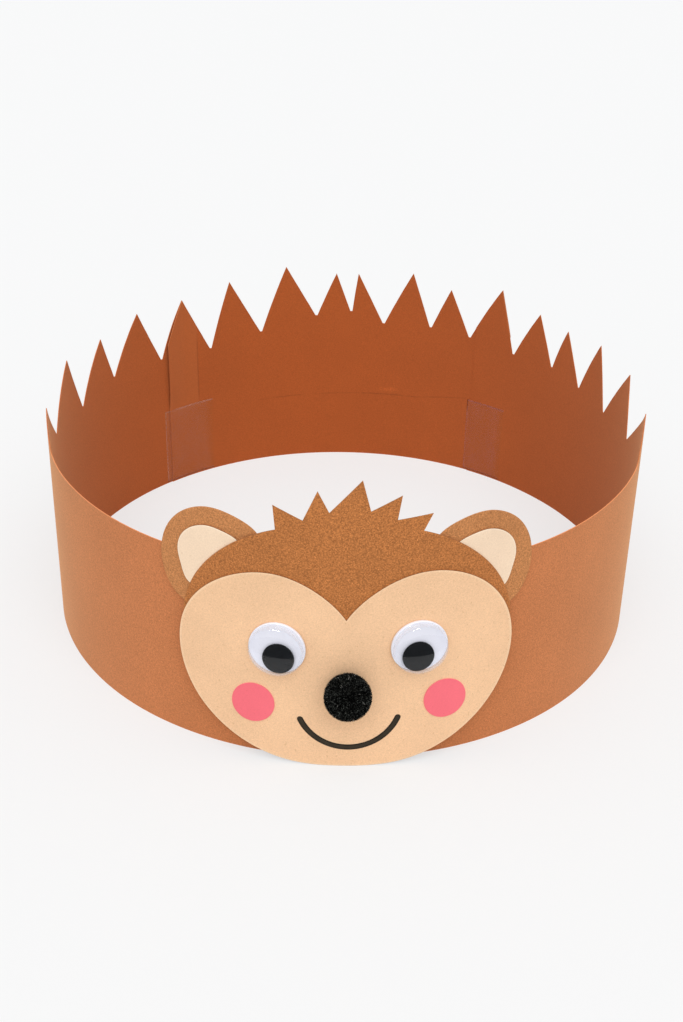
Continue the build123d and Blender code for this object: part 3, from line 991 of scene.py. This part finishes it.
def clear_tape_material(name, cloud, edge):
    """Thin film with a soft gloss, a cut edge painted in the tone given, as a highlight on one tape and a
    shadow on the other, and a painted shadow along its foot. On its inner face it is clear where it is
    pressed down well and cloudy elsewhere."""
    def smear(tree, place):
        return ramp(tree, noise(tree, place, *TAPE_SMEAR), 0.35, 0.7)

    def haze(tree, place):
        veiled = math_node(tree, "MULTIPLY_ADD", smear(tree, place), 0.020, 0.022)
        veiled = times(tree, veiled, mark_of(tree, "cloudy"))
        # The cut edge and the foot take more haze, which carries their painted highlight and shadow.
        veiled = math_node(tree, "MULTIPLY_ADD", mark_of(tree, "cut_edge"), 0.2, veiled)
        return math_node(tree, "MULTIPLY_ADD", mark_of(tree, "foot_edge"), 0.12, veiled)

    def haze_colour(tree, place):
        veil = blend(tree, smear(tree, place), tone(cloud, 0.88), tone(cloud, 1.12))
        # The edge's painted highlight on the left tape and painted shadow on the right, and the foot's
        # painted shadow.
        veil = blend(tree, mark_of(tree, "cut_edge"), veil, edge)
        return blend(tree, mark_of(tree, "foot_edge"), veil, TAPE_FOOT_SHADOW)

    return clear_skin(
        name, facing=0.001, grazing=0.02, roughness=0.5, tint=(0.985, 0.998, 1.0),
        haze_colour=haze_colour, haze=haze,
    )


class CROWN_OT_tape(bpy.types.Operator):
    """Press the clear tape over the two seams"""

    bl_idname = "crown.tape"
    bl_label = "Seam Tape"

    def execute(self, context):
        wave = context.scene.crown_finish.ring_wave / MM
        seams = (
            ("left", (BACK_STRIP[1], LEFT_TAPE_LENGTH, BACK_SHIFT, BAND_RADIUS), 21),
            ("right", (FRONT_STRIP[1] - 360, RIGHT_TAPE_LENGTH, 0.0, BAND_RADIUS + CARD), 22),
        )
        for side, run, seed in seams:
            film = clear_tape_material(f"{side}_clear_tape", TAPE_VEILS[side], TAPE_EDGE_LIGHT_SHADE[side])
            shape = tape_points(*run, wave, seed, TAPE_EDGE_SHARES[side])
            make_piece(f"{side}_tape", shape, film, [f"{side}_seam_tape"], 60.0)
        return {"FINISHED"}


class CROWN_OT_band(bpy.types.Operator):
    """Cut the two strips of the ring, with their spikes"""

    bl_idname = "crown.band"
    bl_label = "Ring Strips"

    def execute(self, context):
        colours, finish = context.scene.crown_colours, context.scene.crown_finish
        wave = finish.ring_wave / MM
        edge = tone(colours.band, 1.3)
        material = card_material(
            "band_card", colours.band, grain=0.23, fleck=0.2, edge=edge, sheen=0.5, extra=band_marks
        )
        for side, span, shift in (("front", FRONT_STRIP, 0.0), ("back", BACK_STRIP, BACK_SHIFT)):
            shape = strip_points(*span, shift, wave)
            make_piece(f"{side}_strip", shape, material, [f"{side}_band"], 40.0)
        return {"FINISHED"}


def head_outline(step):
    """Domed head: a spline down one side, under the chin and up the other, and the straight cuts of
    the fringe."""
    left = [FRINGE[0]] + [(-x, z) for x, z in HEAD_SIDE]
    side = spline([FRINGE[-1]] + HEAD_SIDE + [(0, HEAD_BOTTOM)] + left[::-1], step)
    return np.concatenate([side[:-1], straight(FRINGE, step)[:-1]])


def face_outline(step):
    """Face whose top dips to a point between two lobes: one spline from the notch round and back."""
    knots = [FACE_NOTCH] + LEFT_FACE_SIDE + [FACE_FOOT] + RIGHT_FACE_SIDE[::-1] + [FACE_NOTCH]
    return spline(knots, step)[:-1]


def sheet_wave(x, z):
    """Slow wave that every sheet of the head shares, so that none cuts another."""
    return SHEET_WAVE * ripple(x / SHEET_WAVE_SIZE, z / SHEET_WAVE_SIZE, seed=3)


class CROWN_OT_ears(bpy.types.Operator):
    """Cut the ears and their cream insides"""

    bl_idname = "crown.ears"
    bl_label = "Ears"

    def execute(self, context):
        colours, finish = context.scene.crown_colours, context.scene.crown_finish
        # The ear's cut edge is painted a little darker as shade. The inner ear's cut edge is painted
        # shade, with a painted highlight on the rim beside it.
        brown = card_material(
            "ear_card", colours.ear, grain=0.34, fleck=0.3, edge=tone(colours.ear, 0.8)
        )
        cream = card_material(
            "inner_ear_card", colours.inner_ear, grain=0.06, fleck=0.12, edge=SHADED_EDGE, rim_highlight=0.1
        )
        lift = finish.edge_lift / MM

        def free(x, z, away):
            far = smooth_step(*EAR_FREE, np.hypot(x, z - HEAD_MIDDLE[1]))
            return sheet_wave(x, z) + lift * far * (1 - smooth_step(0, FREE_RUN, away))

        for side, sign, shift in (("left", -1, LEFT_EAR_SHIFT), ("right", 1, 0.0)):
            for part, outline, radius, material, slot in (
                ("ear", EAR, EAR_RADIUS, brown, "head_card"),
                ("inner_ear", INNER_EAR, INNER_EAR_RADIUS, cream, "cream_card"),
            ):
                knots = [(sign * (x + shift), z) for x, z in outline]
                curve = spline(knots, SHEET_STEP, closed=True)
                shape = sheet_points(curve, curve.mean(axis=0), radius, CARD, free)
                make_piece(f"{side}_{part}_card", shape, material, [f"{side}_{part}"])
        return {"FINISHED"}


class CROWN_OT_head(bpy.types.Operator):
    """Cut the head with its fringe, and the cream face"""

    bl_idname = "crown.head"
    bl_label = "Head and Face"

    def execute(self, context):
        colours, finish = context.scene.crown_colours, context.scene.crown_finish
        lift = finish.edge_lift / MM
        # The head's cut edge is painted dark as shade. The face's cut edge is painted shade, with a
        # painted highlight on the rim beside it.
        brown = card_material(
            "head_card", colours.head, grain=0.42, fleck=0.3, edge=tone(colours.head, 0.5)
        )
        cream = card_material(
            "face_card", colours.cream, grain=0.10, fleck=0.16, edge=SHADED_EDGE, rim_highlight=0.12
        )

        def fringe_free(x, z, away):
            high = smooth_step(*FRINGE_FREE, z)
            return sheet_wave(x, z) + lift * high * (1 - smooth_step(0, FRINGE_RUN, away))

        def face_free(x, z, away):
            waves = ripple(x / FACE_UNEVEN_SIZE, z / FACE_UNEVEN_SIZE, seed=5)
            uneven = 1 - FACE_UNEVEN + FACE_UNEVEN * waves
            return sheet_wave(x, z) + lift * uneven * (1 - smooth_step(0, FREE_RUN, away))

        shape = sheet_points(head_outline(SHEET_STEP), HEAD_MIDDLE, HEAD_RADIUS, CARD, fringe_free)
        make_piece("head_sheet", shape, brown, ["head_card"])
        shape = sheet_points(face_outline(SHEET_STEP), FACE_MIDDLE, FACE_RADIUS, CARD, face_free)
        make_piece("face_sheet", shape, cream, ["face_card"])
        return {"FINISHED"}


def on_face(points, place, lift):
    """Points given as right, up and out of the face at a flat place on it."""
    turn = math.asin(place[0] / FACE_FRONT)
    along = np.array([math.cos(turn), math.sin(turn), 0])
    out = np.array([math.sin(turn), -math.cos(turn), 0])
    seat = out * (FACE_FRONT + lift) + np.array([0, 0, place[1]])
    return on_head(seat + points @ np.array([along, [0, 0, 1], out]))


def turned(profile, columns=96):
    """Closed solid of a profile of radius and height, turned about the axis it starts and ends on."""
    ring = polar(1.0, np.linspace(0, 360, columns, endpoint=False))
    body = np.array(profile[1:-1], float)
    floor = body[:, None, :1] * ring[None]
    tall = np.broadcast_to(body[:, None, 1:], (len(body), columns, 1))
    points = np.concatenate([floor, tall], axis=-1).reshape(-1, 3)
    poles = np.array([[0, 0, profile[0][1]], [0, 0, profile[-1][1]]])
    faces = grid_faces(len(body), columns, True)
    faces += fan((len(body) - 1) * columns, columns, len(points) + 1)
    faces += [face[::-1] for face in fan(0, columns, len(points))]
    return np.concatenate([points, poles]), faces


def rounding(centre, radius, start, end, count=5):
    """Arc of a profile about a centre, from one angle to another."""
    return [tuple(centre + polar(radius, angle)) for angle in np.linspace(start, end, count)]


class CROWN_OT_cheeks(bpy.types.Operator):
    """Cut the coral cheeks"""

    bl_idname = "crown.cheeks"
    bl_label = "Cheeks"

    def execute(self, context):
        pink = context.scene.crown_colours.pink
        material = card_material("cheek_paper", pink, grain=0.03, fleck=0.08, edge=tone(pink, 1.25))
        turns = np.linspace(0, 360, CHEEK_COLUMNS, endpoint=False)
        for seed, (side, place) in enumerate(CHEEKS.items(), 31):
            snips = 1 + CHEEK_SNIPS * ripple(*polar(3, turns).T, seed)
            x, z = (polar(0.5, turns) * np.array(CHEEK_SIZE) * snips[:, None]).T
            outline = np.stack(swung(x, z, math.radians(CHEEK_TURNS[side])), axis=-1) + place
            shape = sheet_points(
                outline, place, FACE_FRONT + GLUE, CHEEK_CARD, lambda x, z, away: sheet_wave(x, z)
            )
            make_piece(f"{side}_cheek_paper", shape, material, [f"{side}_cheek"])
        return {"FINISHED"}


def mouth_points():
    """Marker stroke: half its width to each side of an arc through three points, with round ends, as a
    thin layer on the face. The mark tells its edges, where the ink pooled."""
    (ax, ay), (bx, by), (cx, cy) = MOUTH_ENDS[0], MOUTH_MIDDLE, MOUTH_ENDS[1]
    system = 2 * np.array([[bx - ax, by - ay], [cx - ax, cy - ay]])
    wanted = np.array([bx**2 - ax**2 + by**2 - ay**2, cx**2 - ax**2 + cy**2 - ay**2])
    centre = np.linalg.solve(system, wanted)
    radius = np.hypot(ax - centre[0], ay - centre[1])
    start = math.degrees(math.atan2(ay - centre[1], ax - centre[0])) % 360
    end = math.degrees(math.atan2(cy - centre[1], cx - centre[0])) % 360
    half = MOUTH_STROKE / 2
    round_end = half * np.sin(np.radians(np.linspace(-88, 0, MOUTH_END_COLUMNS, endpoint=False)))
    length = math.radians(end - start) * radius
    even = np.linspace(0, length, MOUTH_COLUMNS)
    run = np.concatenate([round_end, even, (length - round_end)[::-1]])
    past = np.clip(-run, 0, None) + np.clip(run - length, 0, None)
    wide = np.sqrt(half**2 - past**2) * (1 + MOUTH_WOBBLE * ripple(run / 1.5, run / 4, seed=41))
    angle = start + np.degrees(run / radius)
    across = np.array(MOUTH_ROWS)[:, None]
    flat = centre + polar(radius + across * wide, angle)
    x, z = flat[..., 0], flat[..., 1]
    grids = []
    for depth in (INK, 0.0):
        out = FACE_FRONT + GLUE + depth + sheet_wave(x, z)
        grids.append(np.stack([x, -np.sqrt(out**2 - x**2), z], axis=-1))
    points, faces = closed_wall(*grids)
    pooled = smooth_step(*INK_POOL, np.abs(across)) + 0 * wide
    return on_head(points), faces, {"pooled": np.concatenate([pooled.ravel()] * 2)}


class CROWN_OT_mouth(bpy.types.Operator):
    """Draw the smile with a marker"""

    bl_idname = "crown.mouth"
    bl_label = "Mouth"

    def execute(self, context):
        ink = context.scene.crown_colours.ink
        material, tree, shader, _ = new_material("marker_ink")
        place = place_of(tree)
        streak = ramp(tree, noise(tree, place, *INK_STREAK), 0.3, 0.7)
        base = blend(tree, streak, tone(ink, 0.85), tone(ink, 1.3))
        base = blend(tree, times(tree, mark_of(tree, "pooled"), 0.9), base, tone(ink, 0.22))
        tree.links.new(base, shader.inputs["Base Color"])
        shader.inputs["Roughness"].default_value = 0.6
        shader.inputs["Specular IOR Level"].default_value = 0.15
        bumpy(tree, shader, noise(tree, place, *INK_TOOTH), 0.25, 0.00004)
        make_piece("mouth_line", mouth_points(), material, ["mouth"])
        return {"FINISHED"}


def sphere_directions(count):
    """Evenly spread directions: equal steps of height, each turned on by the golden angle."""
    step = np.arange(count)
    height = 1 - (2 * step + 1) / count
    turn = np.degrees(step * math.pi * (3 - math.sqrt(5)))
    return np.concatenate([polar(1.0, turn) * np.sqrt(1 - height**2)[:, None], height[:, None]], axis=1)


def pile_points(count, length):
    """Yarn ends of the pompom: three-sided tapering stalks that start in its core, lean over by
    chance and curl aside, both by the square of the way along. Also gives back each point's shade,
    which is one for each stalk and picks the stalks that take the painted highlights."""
    random = np.random.default_rng(51)
    out = sphere_directions(count) + random.normal(0, PILE_SCATTER, (count, 3))
    out /= np.linalg.norm(out, axis=1)[:, None]
    aside = np.cross(out, random.normal(0, 1, (count, 3)))
    aside /= np.linalg.norm(aside, axis=1)[:, None]
    third = np.cross(out, aside)
    base = NOSE_RADIUS - length
    reach = length * random.uniform(*PILE_LENGTHS, count)[:, None]
    lean = random.uniform(*PILE_LEANS, count)[:, None]
    curl = random.uniform(*PILE_CURLS, count)[:, None]
    stalk = random.uniform(*PILE_WIDTHS, count)[:, None]
    rings = []
    for share, width in STALK_RINGS:
        spine = out * (base + reach * share) + aside * (lean * share**2) + third * (curl * share**2)
        for corner in (90, 210, 330):
            c, s = math.cos(math.radians(corner)), math.sin(math.radians(corner))
            rings.append(spine + (aside * c + third * s) * stalk * width)
    tip = out * (base + reach) + aside * lean + third * curl
    points = np.stack(rings + [tip], axis=1).reshape(-1, 3)
    each = []
    for ring in (0, 3):
        for k in range(3):
            n = (k + 1) % 3
            each.append([ring + k, ring + n, ring + 3 + n, ring + 3 + k])
    ends = [[6, 7, 9], [7, 8, 9], [8, 6, 9], [2, 1, 0]]
    size = len(rings) + 1
    starts = np.arange(count)[:, None, None] * size
    faces = (np.array(each)[None] + starts).reshape(-1, 4).tolist()
    faces += (np.array(ends)[None] + starts).reshape(-1, 3).tolist()
    return points, faces, np.repeat(random.uniform(0, 1, count), size)


def core_points(length):
    """Ball inside the pile, knobbled by a slow ripple."""
    angles = np.linspace(-90, 90, CORE_ROWS)
    points, faces = turned(polar(NOSE_RADIUS - length * CORE_DEPTH, angles), CORE_COLUMNS)
    knobbles = ripple(points[:, 0] * 1.3 + points[:, 2], points[:, 1] * 1.3, seed=53)
    return points * (1 + CORE_KNOBBLE * knobbles)[:, None], faces


class CROWN_OT_nose(bpy.types.Operator):
    """Glue on the black pompom"""

    bl_idname = "crown.nose"
    bl_label = "Pompom Nose"

    def execute(self, context):
        finish = context.scene.crown_finish
        length = finish.pile_length / MM
        core, core_faces = core_points(length)
        pile, pile_faces, shade = pile_points(finish.pile_ends, length)
        faces = core_faces + [[corner + len(core) for corner in face] for face in pile_faces]
        ball = np.concatenate([core, pile])
        marks = {"pile_shade": np.concatenate([np.full(len(core), CORE_SHADE), shade])}
        ball[:, 2] = np.maximum(ball[:, 2] + NOSE_RADIUS - NOSE_PRESS, PILE_FLOOR)
        shape = on_face(ball, NOSE_PLACE, GLUE), faces, marks
        make_piece("pompom", shape, self.pile_material(), ["nose_pompom"], 80.0)
        return {"FINISHED"}

    def pile_material(self):
        """Black yarn with painted highlights: paler tufts where its ends catch light, and a few nearly
        white glints.
        """
        material, tree, shader, _ = new_material("black_pile")
        mark = mark_of(tree, "pile_shade")
        highlight_patch = ramp(tree, noise(tree, place_of(tree), *PILE_HIGHLIGHT_NOISE), 0.52, 0.60)
        lit = times(tree, highlight_patch, ramp(tree, mark, 0.35, 0.85))
        # Painted highlights: lit patches on some stalks, and a few near white glints.
        base = blend(tree, lit, (0.001, 0.001, 0.001), (0.14, 0.15, 0.135))
        base = blend(tree, ramp(tree, mark, 0.992, 0.995), base, (0.40, 0.40, 0.37))
        tree.links.new(base, shader.inputs["Base Color"])
        shader.inputs["Roughness"].default_value = 0.55
        shader.inputs["Specular IOR Level"].default_value = 0.04
        return material


def plain_plastic(name, colour, roughness, cloudy):
    """Smooth moulded plastic, a little cloudy, with the finest ripple in its gloss."""
    material, tree, shader, _ = new_material(name)
    place = place_of(tree)
    cloud = ramp(tree, noise(tree, place, *PLASTIC_CLOUD), 0.3, 0.7)
    base = blend(tree, cloud, tone(colour, 1 - cloudy), tone(colour, 1 + cloudy))
    tree.links.new(base, shader.inputs["Base Color"])
    shader.inputs["Roughness"].default_value = roughness
    bumpy(tree, shader, noise(tree, place, *PLASTIC_RIPPLE), 0.05, 0.00003)
    return material


def clear_plastic():
    """Clear moulded plastic, milky low down where its wall is seen along."""
    def haze(tree, place):
        return times(tree, mark_of(tree, "milky"), 0.35)

    def haze_colour(tree, place):
        cloud = ramp(tree, noise(tree, place, *DOME_CLOUD), 0.3, 0.7)
        return blend(tree, cloud, (0.82, 0.85, 0.97), (0.86, 0.89, 0.99))

    return clear_skin(
        "clear_dome", facing=0.016, grazing=0.06, roughness=0.03, tint=(1.0, 1.0, 1.0),
        haze_colour=haze_colour, haze=haze,
    )


def dome_profile():
    """Clear dome from its top outside, over a bent shoulder, down to a small foot, and back up inside.
    The shoulder is the curve between wall and crown that leaves each along its own line."""
    def skin(inset):
        side = DOME_RADIUS - inset
        height, crown = DOME_HEIGHT - inset, DOME_CROWN - inset
        middle = height - crown
        tilt = math.degrees(math.asin((side - DOME_SHOULDER) / crown))
        top = rounding((0.0, middle), crown, 90, 90 - tilt, 12)
        corner = np.array([side, middle + math.sqrt(crown**2 - side**2)])
        wall = np.array([side, DOME_SIDE])
        t = np.linspace(0, 1, 10)[1:, None]
        bend = (1 - t) ** 2 * np.array(top[-1]) + 2 * t * (1 - t) * corner + t**2 * wall
        return top + [tuple(point) for point in bend]

    foot = [(DOME_RADIUS + out, height) for out, height in DOME_FOOT]
    return skin(0.0) + foot + [(DOME_RADIUS - DOME_WALL, 0.0)] + skin(DOME_WALL)[::-1]


def back_profile():
    """White disc with its front and rear edges rounded."""
    face = [(ring, EYE_BACK) for ring in (0.0, *BACK_RINGS)]
    front = rounding((EYE_RADIUS - BACK_EASE, EYE_BACK - BACK_EASE), BACK_EASE, 90, 0)
    rear_ease = BACK_REAR_EASE
    rear = rounding((EYE_RADIUS - rear_ease, rear_ease), rear_ease, 0, -90, 3)
    return face + front + rear + [(BACK_RINGS[0], 0.0), (0.0, 0.0)]


def pupil_profile():
    """Black disc with a slightly domed face, an arc about a point far behind it, and rounded rims."""
    tilt = math.degrees(math.asin((PUPIL_RADIUS - PUPIL_EASE) / PUPIL_CROWN))
    face = rounding((0.0, PUPIL_THICKNESS - PUPIL_CROWN), PUPIL_CROWN, 90, 90 - tilt, 14)
    edge = face[-1][1]
    front = rounding((PUPIL_RADIUS - PUPIL_EASE, edge - PUPIL_EASE), PUPIL_EASE, 90 - tilt, 0)
    rear = rounding((PUPIL_RADIUS - PUPIL_EASE, PUPIL_EASE), PUPIL_EASE, 0, -90)
    return face + front[1:] + rear + [(PUPIL_RING, 0.0), (0.0, 0.0)]


def leaning(points, swing):
    """Loose disc in its dome: it leans back on the rear of its upper edge, with its foot near the wall,
    and is swung aside about the eye's axis."""
    foot = DOME_RADIUS - DOME_WALL - PUPIL_CLEARANCE
    y, z = swung(points[:, 1] - PUPIL_RADIUS, points[:, 2], -math.radians(PUPIL_LEAN))
    x, y = swung(points[:, 0], y + 2 * PUPIL_RADIUS - foot, math.radians(swing))
    return np.stack([x, y, z + PUPIL_FLOAT], axis=-1)


class CROWN_OT_eyes(bpy.types.Operator):
    """Glue on the wiggle eyes: white backs, clear domes and loose pupils"""

    bl_idname = "crown.eyes"
    bl_label = "Wiggle Eyes"

    def execute(self, context):
        pale = context.scene.crown_colours.eye_white
        white = plain_plastic("eye_white", pale, roughness=0.35, cloudy=0.01)
        black = plain_plastic("eye_black", EYE_BLACK, roughness=0.06, cloudy=0.1)
        shader_of(black).inputs["Specular IOR Level"].default_value = 0.05
        clear = clear_plastic()
        for side, (place, swing) in EYES.items():
            points, faces = turned(back_profile())
            shape = on_face(points, place, GLUE), faces, {}
            make_piece(f"{side}_white", shape, white, [f"{side}_eye_back"], 35.0)
            points, faces = turned(dome_profile(), DOME_COLUMNS)
            milky = smooth_step(*MILKY_START, points[:, 2]) - smooth_step(*MILKY_END, points[:, 2])
            shape = on_face(points, place, GLUE + EYE_BACK + DOME_SEAT), faces, {"milky": milky}
            make_piece(f"{side}_dome", shape, clear, [f"{side}_eye_dome"])
            points, faces = turned(pupil_profile())
            shape = on_face(leaning(points, swing), place, GLUE + EYE_BACK), faces, {}
            make_piece(f"{side}_disc", shape, black, [f"{side}_pupil"])
        return {"FINISHED"}


def aim(place, pitch, roll):
    """Rotation whose columns are the camera's right, up and backward directions: it looks along +Y,
    pitched down, then rolled about its line of sight."""
    pitch, roll = math.radians(pitch), math.radians(roll)
    ahead = Vector((0, math.cos(pitch), -math.sin(pitch)))
    right = Vector((1, 0, 0))
    up = right.cross(ahead)
    turned_right = right * math.cos(roll) + up * math.sin(roll)
    turned_up = up * math.cos(roll) - right * math.sin(roll)
    columns = Matrix((turned_right, turned_up, -ahead)).transposed()
    return Matrix.Translation(Vector(place) * MM) @ columns.to_4x4()


def lamp(name, direction, spread, strength):
    """Far soft lamp that shines along a direction, as wide as spread degrees, so that it lights the
    floor evenly."""
    data = bpy.data.lights.new(name, "SUN")
    data.angle = math.radians(spread)
    data.energy = strength
    light = bpy.data.objects.new(name, data)
    bpy.context.scene.collection.objects.link(light)
    light.rotation_euler = Vector(direction).to_track_quat("-Z", "Y").to_euler()
    light.visible_glossy = False
    return light


def square(half):
    """Corners of a flat square about the origin."""
    return [(-half, -half, 0), (half, -half, 0), (half, half, 0), (-half, half, 0)]


def softbox(name, distance, size, direction, strength):
    """Square glowing panel that only gloss sees, square to a direction and far back along it."""
    away = -Vector(direction).normalized()
    place = Matrix.Translation(away * distance) @ away.to_track_quat("Z", "Y").to_matrix().to_4x4()
    mesh = bpy.data.meshes.new(name)
    corners = [tuple(place @ Vector(corner) * MM) for corner in square(size / 2)]
    mesh.from_pydata(corners, [], [(0, 1, 2, 3)])
    material = bpy.data.materials.new(name)
    material.use_nodes = True
    tree = material.node_tree
    tree.nodes.clear()
    glow = add(tree, "Emission", Strength=strength)
    output = add(tree, "OutputMaterial")
    tree.links.new(glow.outputs[0], output.inputs["Surface"])
    mesh.materials.append(material)
    panel = bpy.data.objects.new(name, mesh)
    for ray in ("camera", "diffuse", "transmission", "volume_scatter", "shadow"):
        setattr(panel, f"visible_{ray}", False)
    bpy.context.scene.collection.objects.link(panel)


class CROWN_OT_stage(bpy.types.Operator):
    """Set the pale floor, the soft light and the camera"""

    bl_idname = "crown.stage"
    bl_label = "Stage"

    def execute(self, context):
        scene = context.scene
        scene.view_settings.view_transform = "Standard"
        camera_data = bpy.data.cameras.new("camera")
        camera_data.sensor_width = SENSOR_WIDTH
        camera_data.lens = CAMERA_LENS
        camera = bpy.data.objects.new("camera", camera_data)
        scene.collection.objects.link(camera)
        camera.matrix_world = aim(CAMERA_PLACE, CAMERA_PITCH, CAMERA_ROLL)
        scene.camera = camera
        self.floor()
        self.world(scene)
        lamp("key_lamp", KEY_DIRECTION, KEY_SPREAD, KEY_STRENGTH)
        softbox("softbox", SOFTBOX_DISTANCE, SOFTBOX_SIZE, SOFTBOX_DIRECTION, SOFTBOX_STRENGTH)
        return {"FINISHED"}

    def floor(self):
        """Flat pale sheet, far larger than the view. Gloss sees it end in a dark room some way out."""
        mesh = bpy.data.meshes.new("floor")
        mesh.from_pydata(square(FLOOR_REACH), [], [(0, 1, 2, 3)])
        material, tree, shader, output = new_material("floor_paper")
        shader.inputs["Roughness"].default_value = 0.9
        shader.inputs["Specular IOR Level"].default_value = 0.1
        rays = add(tree, "LightPath").outputs
        gloss = rays["Is Glossy Ray"]
        seen = math_node(tree, "MAXIMUM", rays["Is Camera Ray"], gloss)
        tree.links.new(blend(tree, seen, FLOOR_TONE, FLOOR_SEEN), shader.inputs["Base Color"])
        glow = add(tree, "Emission", Strength=1.0, Color=FLOOR_GLOW)
        share = times(tree, seen, FLOOR_GLOW_SHARE)
        paper = mix_shaders(tree, share, shader.outputs["BSDF"], glow.outputs[0])
        away = add(tree, "VectorMath", operation="LENGTH")
        tree.links.new(place_of(tree), away.inputs[0])
        beyond = ramp(tree, away.outputs["Value"], FLOOR_EDGE * MM, (FLOOR_EDGE + FLOOR_FADE) * MM)
        dark = add(tree, "Emission", Strength=1.0, Color=FLOOR_DARK)
        room = mix_shaders(tree, times(tree, gloss, beyond), paper, dark.outputs[0])
        tree.links.new(room, output.inputs["Surface"])
        mesh.materials.append(material)
        sheet = bpy.data.objects.new("floor", mesh)
        bpy.context.scene.collection.objects.link(sheet)

    def world(self, scene):
        """Even pale light all round, which the camera, gloss and clear skins see as near white."""
        world = bpy.data.worlds.new("studio")
        scene.world = world
        world.use_nodes = True
        tree = world.node_tree
        tree.nodes.clear()
        light = add(tree, "Background", Strength=ROOM_STRENGTH, Color=(1.0, 1.0, 1.0, 1))
        backdrop = add(tree, "Background", Strength=1.0, Color=BACKDROP)
        rays = add(tree, "LightPath").outputs
        seen = math_node(tree, "MAXIMUM", rays["Is Glossy Ray"], rays["Is Transmission Ray"])
        seen = math_node(tree, "MAXIMUM", seen, rays["Is Camera Ray"])
        sky = mix_shaders(tree, seen, light.outputs[0], backdrop.outputs[0])
        tree.links.new(sky, add(tree, "OutputWorld").inputs["Surface"])


class CROWN_PT_panel(bpy.types.Panel):
    """Buttons and settings of the paper crown"""

    bl_idname = "CROWN_PT_panel"
    bl_label = "Paper Crown"
    bl_space_type = "VIEW_3D"
    bl_region_type = "UI"
    bl_category = "Paper Crown"

    def draw(self, context):
        layout = self.layout
        for group in (context.scene.crown_colours, context.scene.crown_finish):
            for key in group.bl_rna.properties.keys():
                if key not in ("rna_type", "name"):
                    layout.prop(group, key)
        for operator in OPERATORS:
            layout.operator(operator.bl_idname)


OPERATORS = (
    CROWN_OT_stage, CROWN_OT_band, CROWN_OT_tape, CROWN_OT_ears, CROWN_OT_head,
    CROWN_OT_cheeks, CROWN_OT_mouth, CROWN_OT_nose, CROWN_OT_eyes,
)
CLASSES = (CrownColours, CrownFinish, *OPERATORS, CROWN_PT_panel)


def register():
    """Add the classes, and the settings to the scene."""
    for each in CLASSES:
        bpy.utils.register_class(each)
    bpy.types.Scene.crown_colours = bpy.props.PointerProperty(type=CrownColours)
    bpy.types.Scene.crown_finish = bpy.props.PointerProperty(type=CrownFinish)


def unregister():
    """Take them away again."""
    del bpy.types.Scene.crown_finish
    del bpy.types.Scene.crown_colours
    for each in reversed(CLASSES):
        bpy.utils.unregister_class(each)


def main():
    """Make every piece in order."""
    register()
    for operator in OPERATORS:
        area, call = operator.bl_idname.split(".")
        getattr(getattr(bpy.ops, area), call)()


if __name__ == "__main__":
    main()
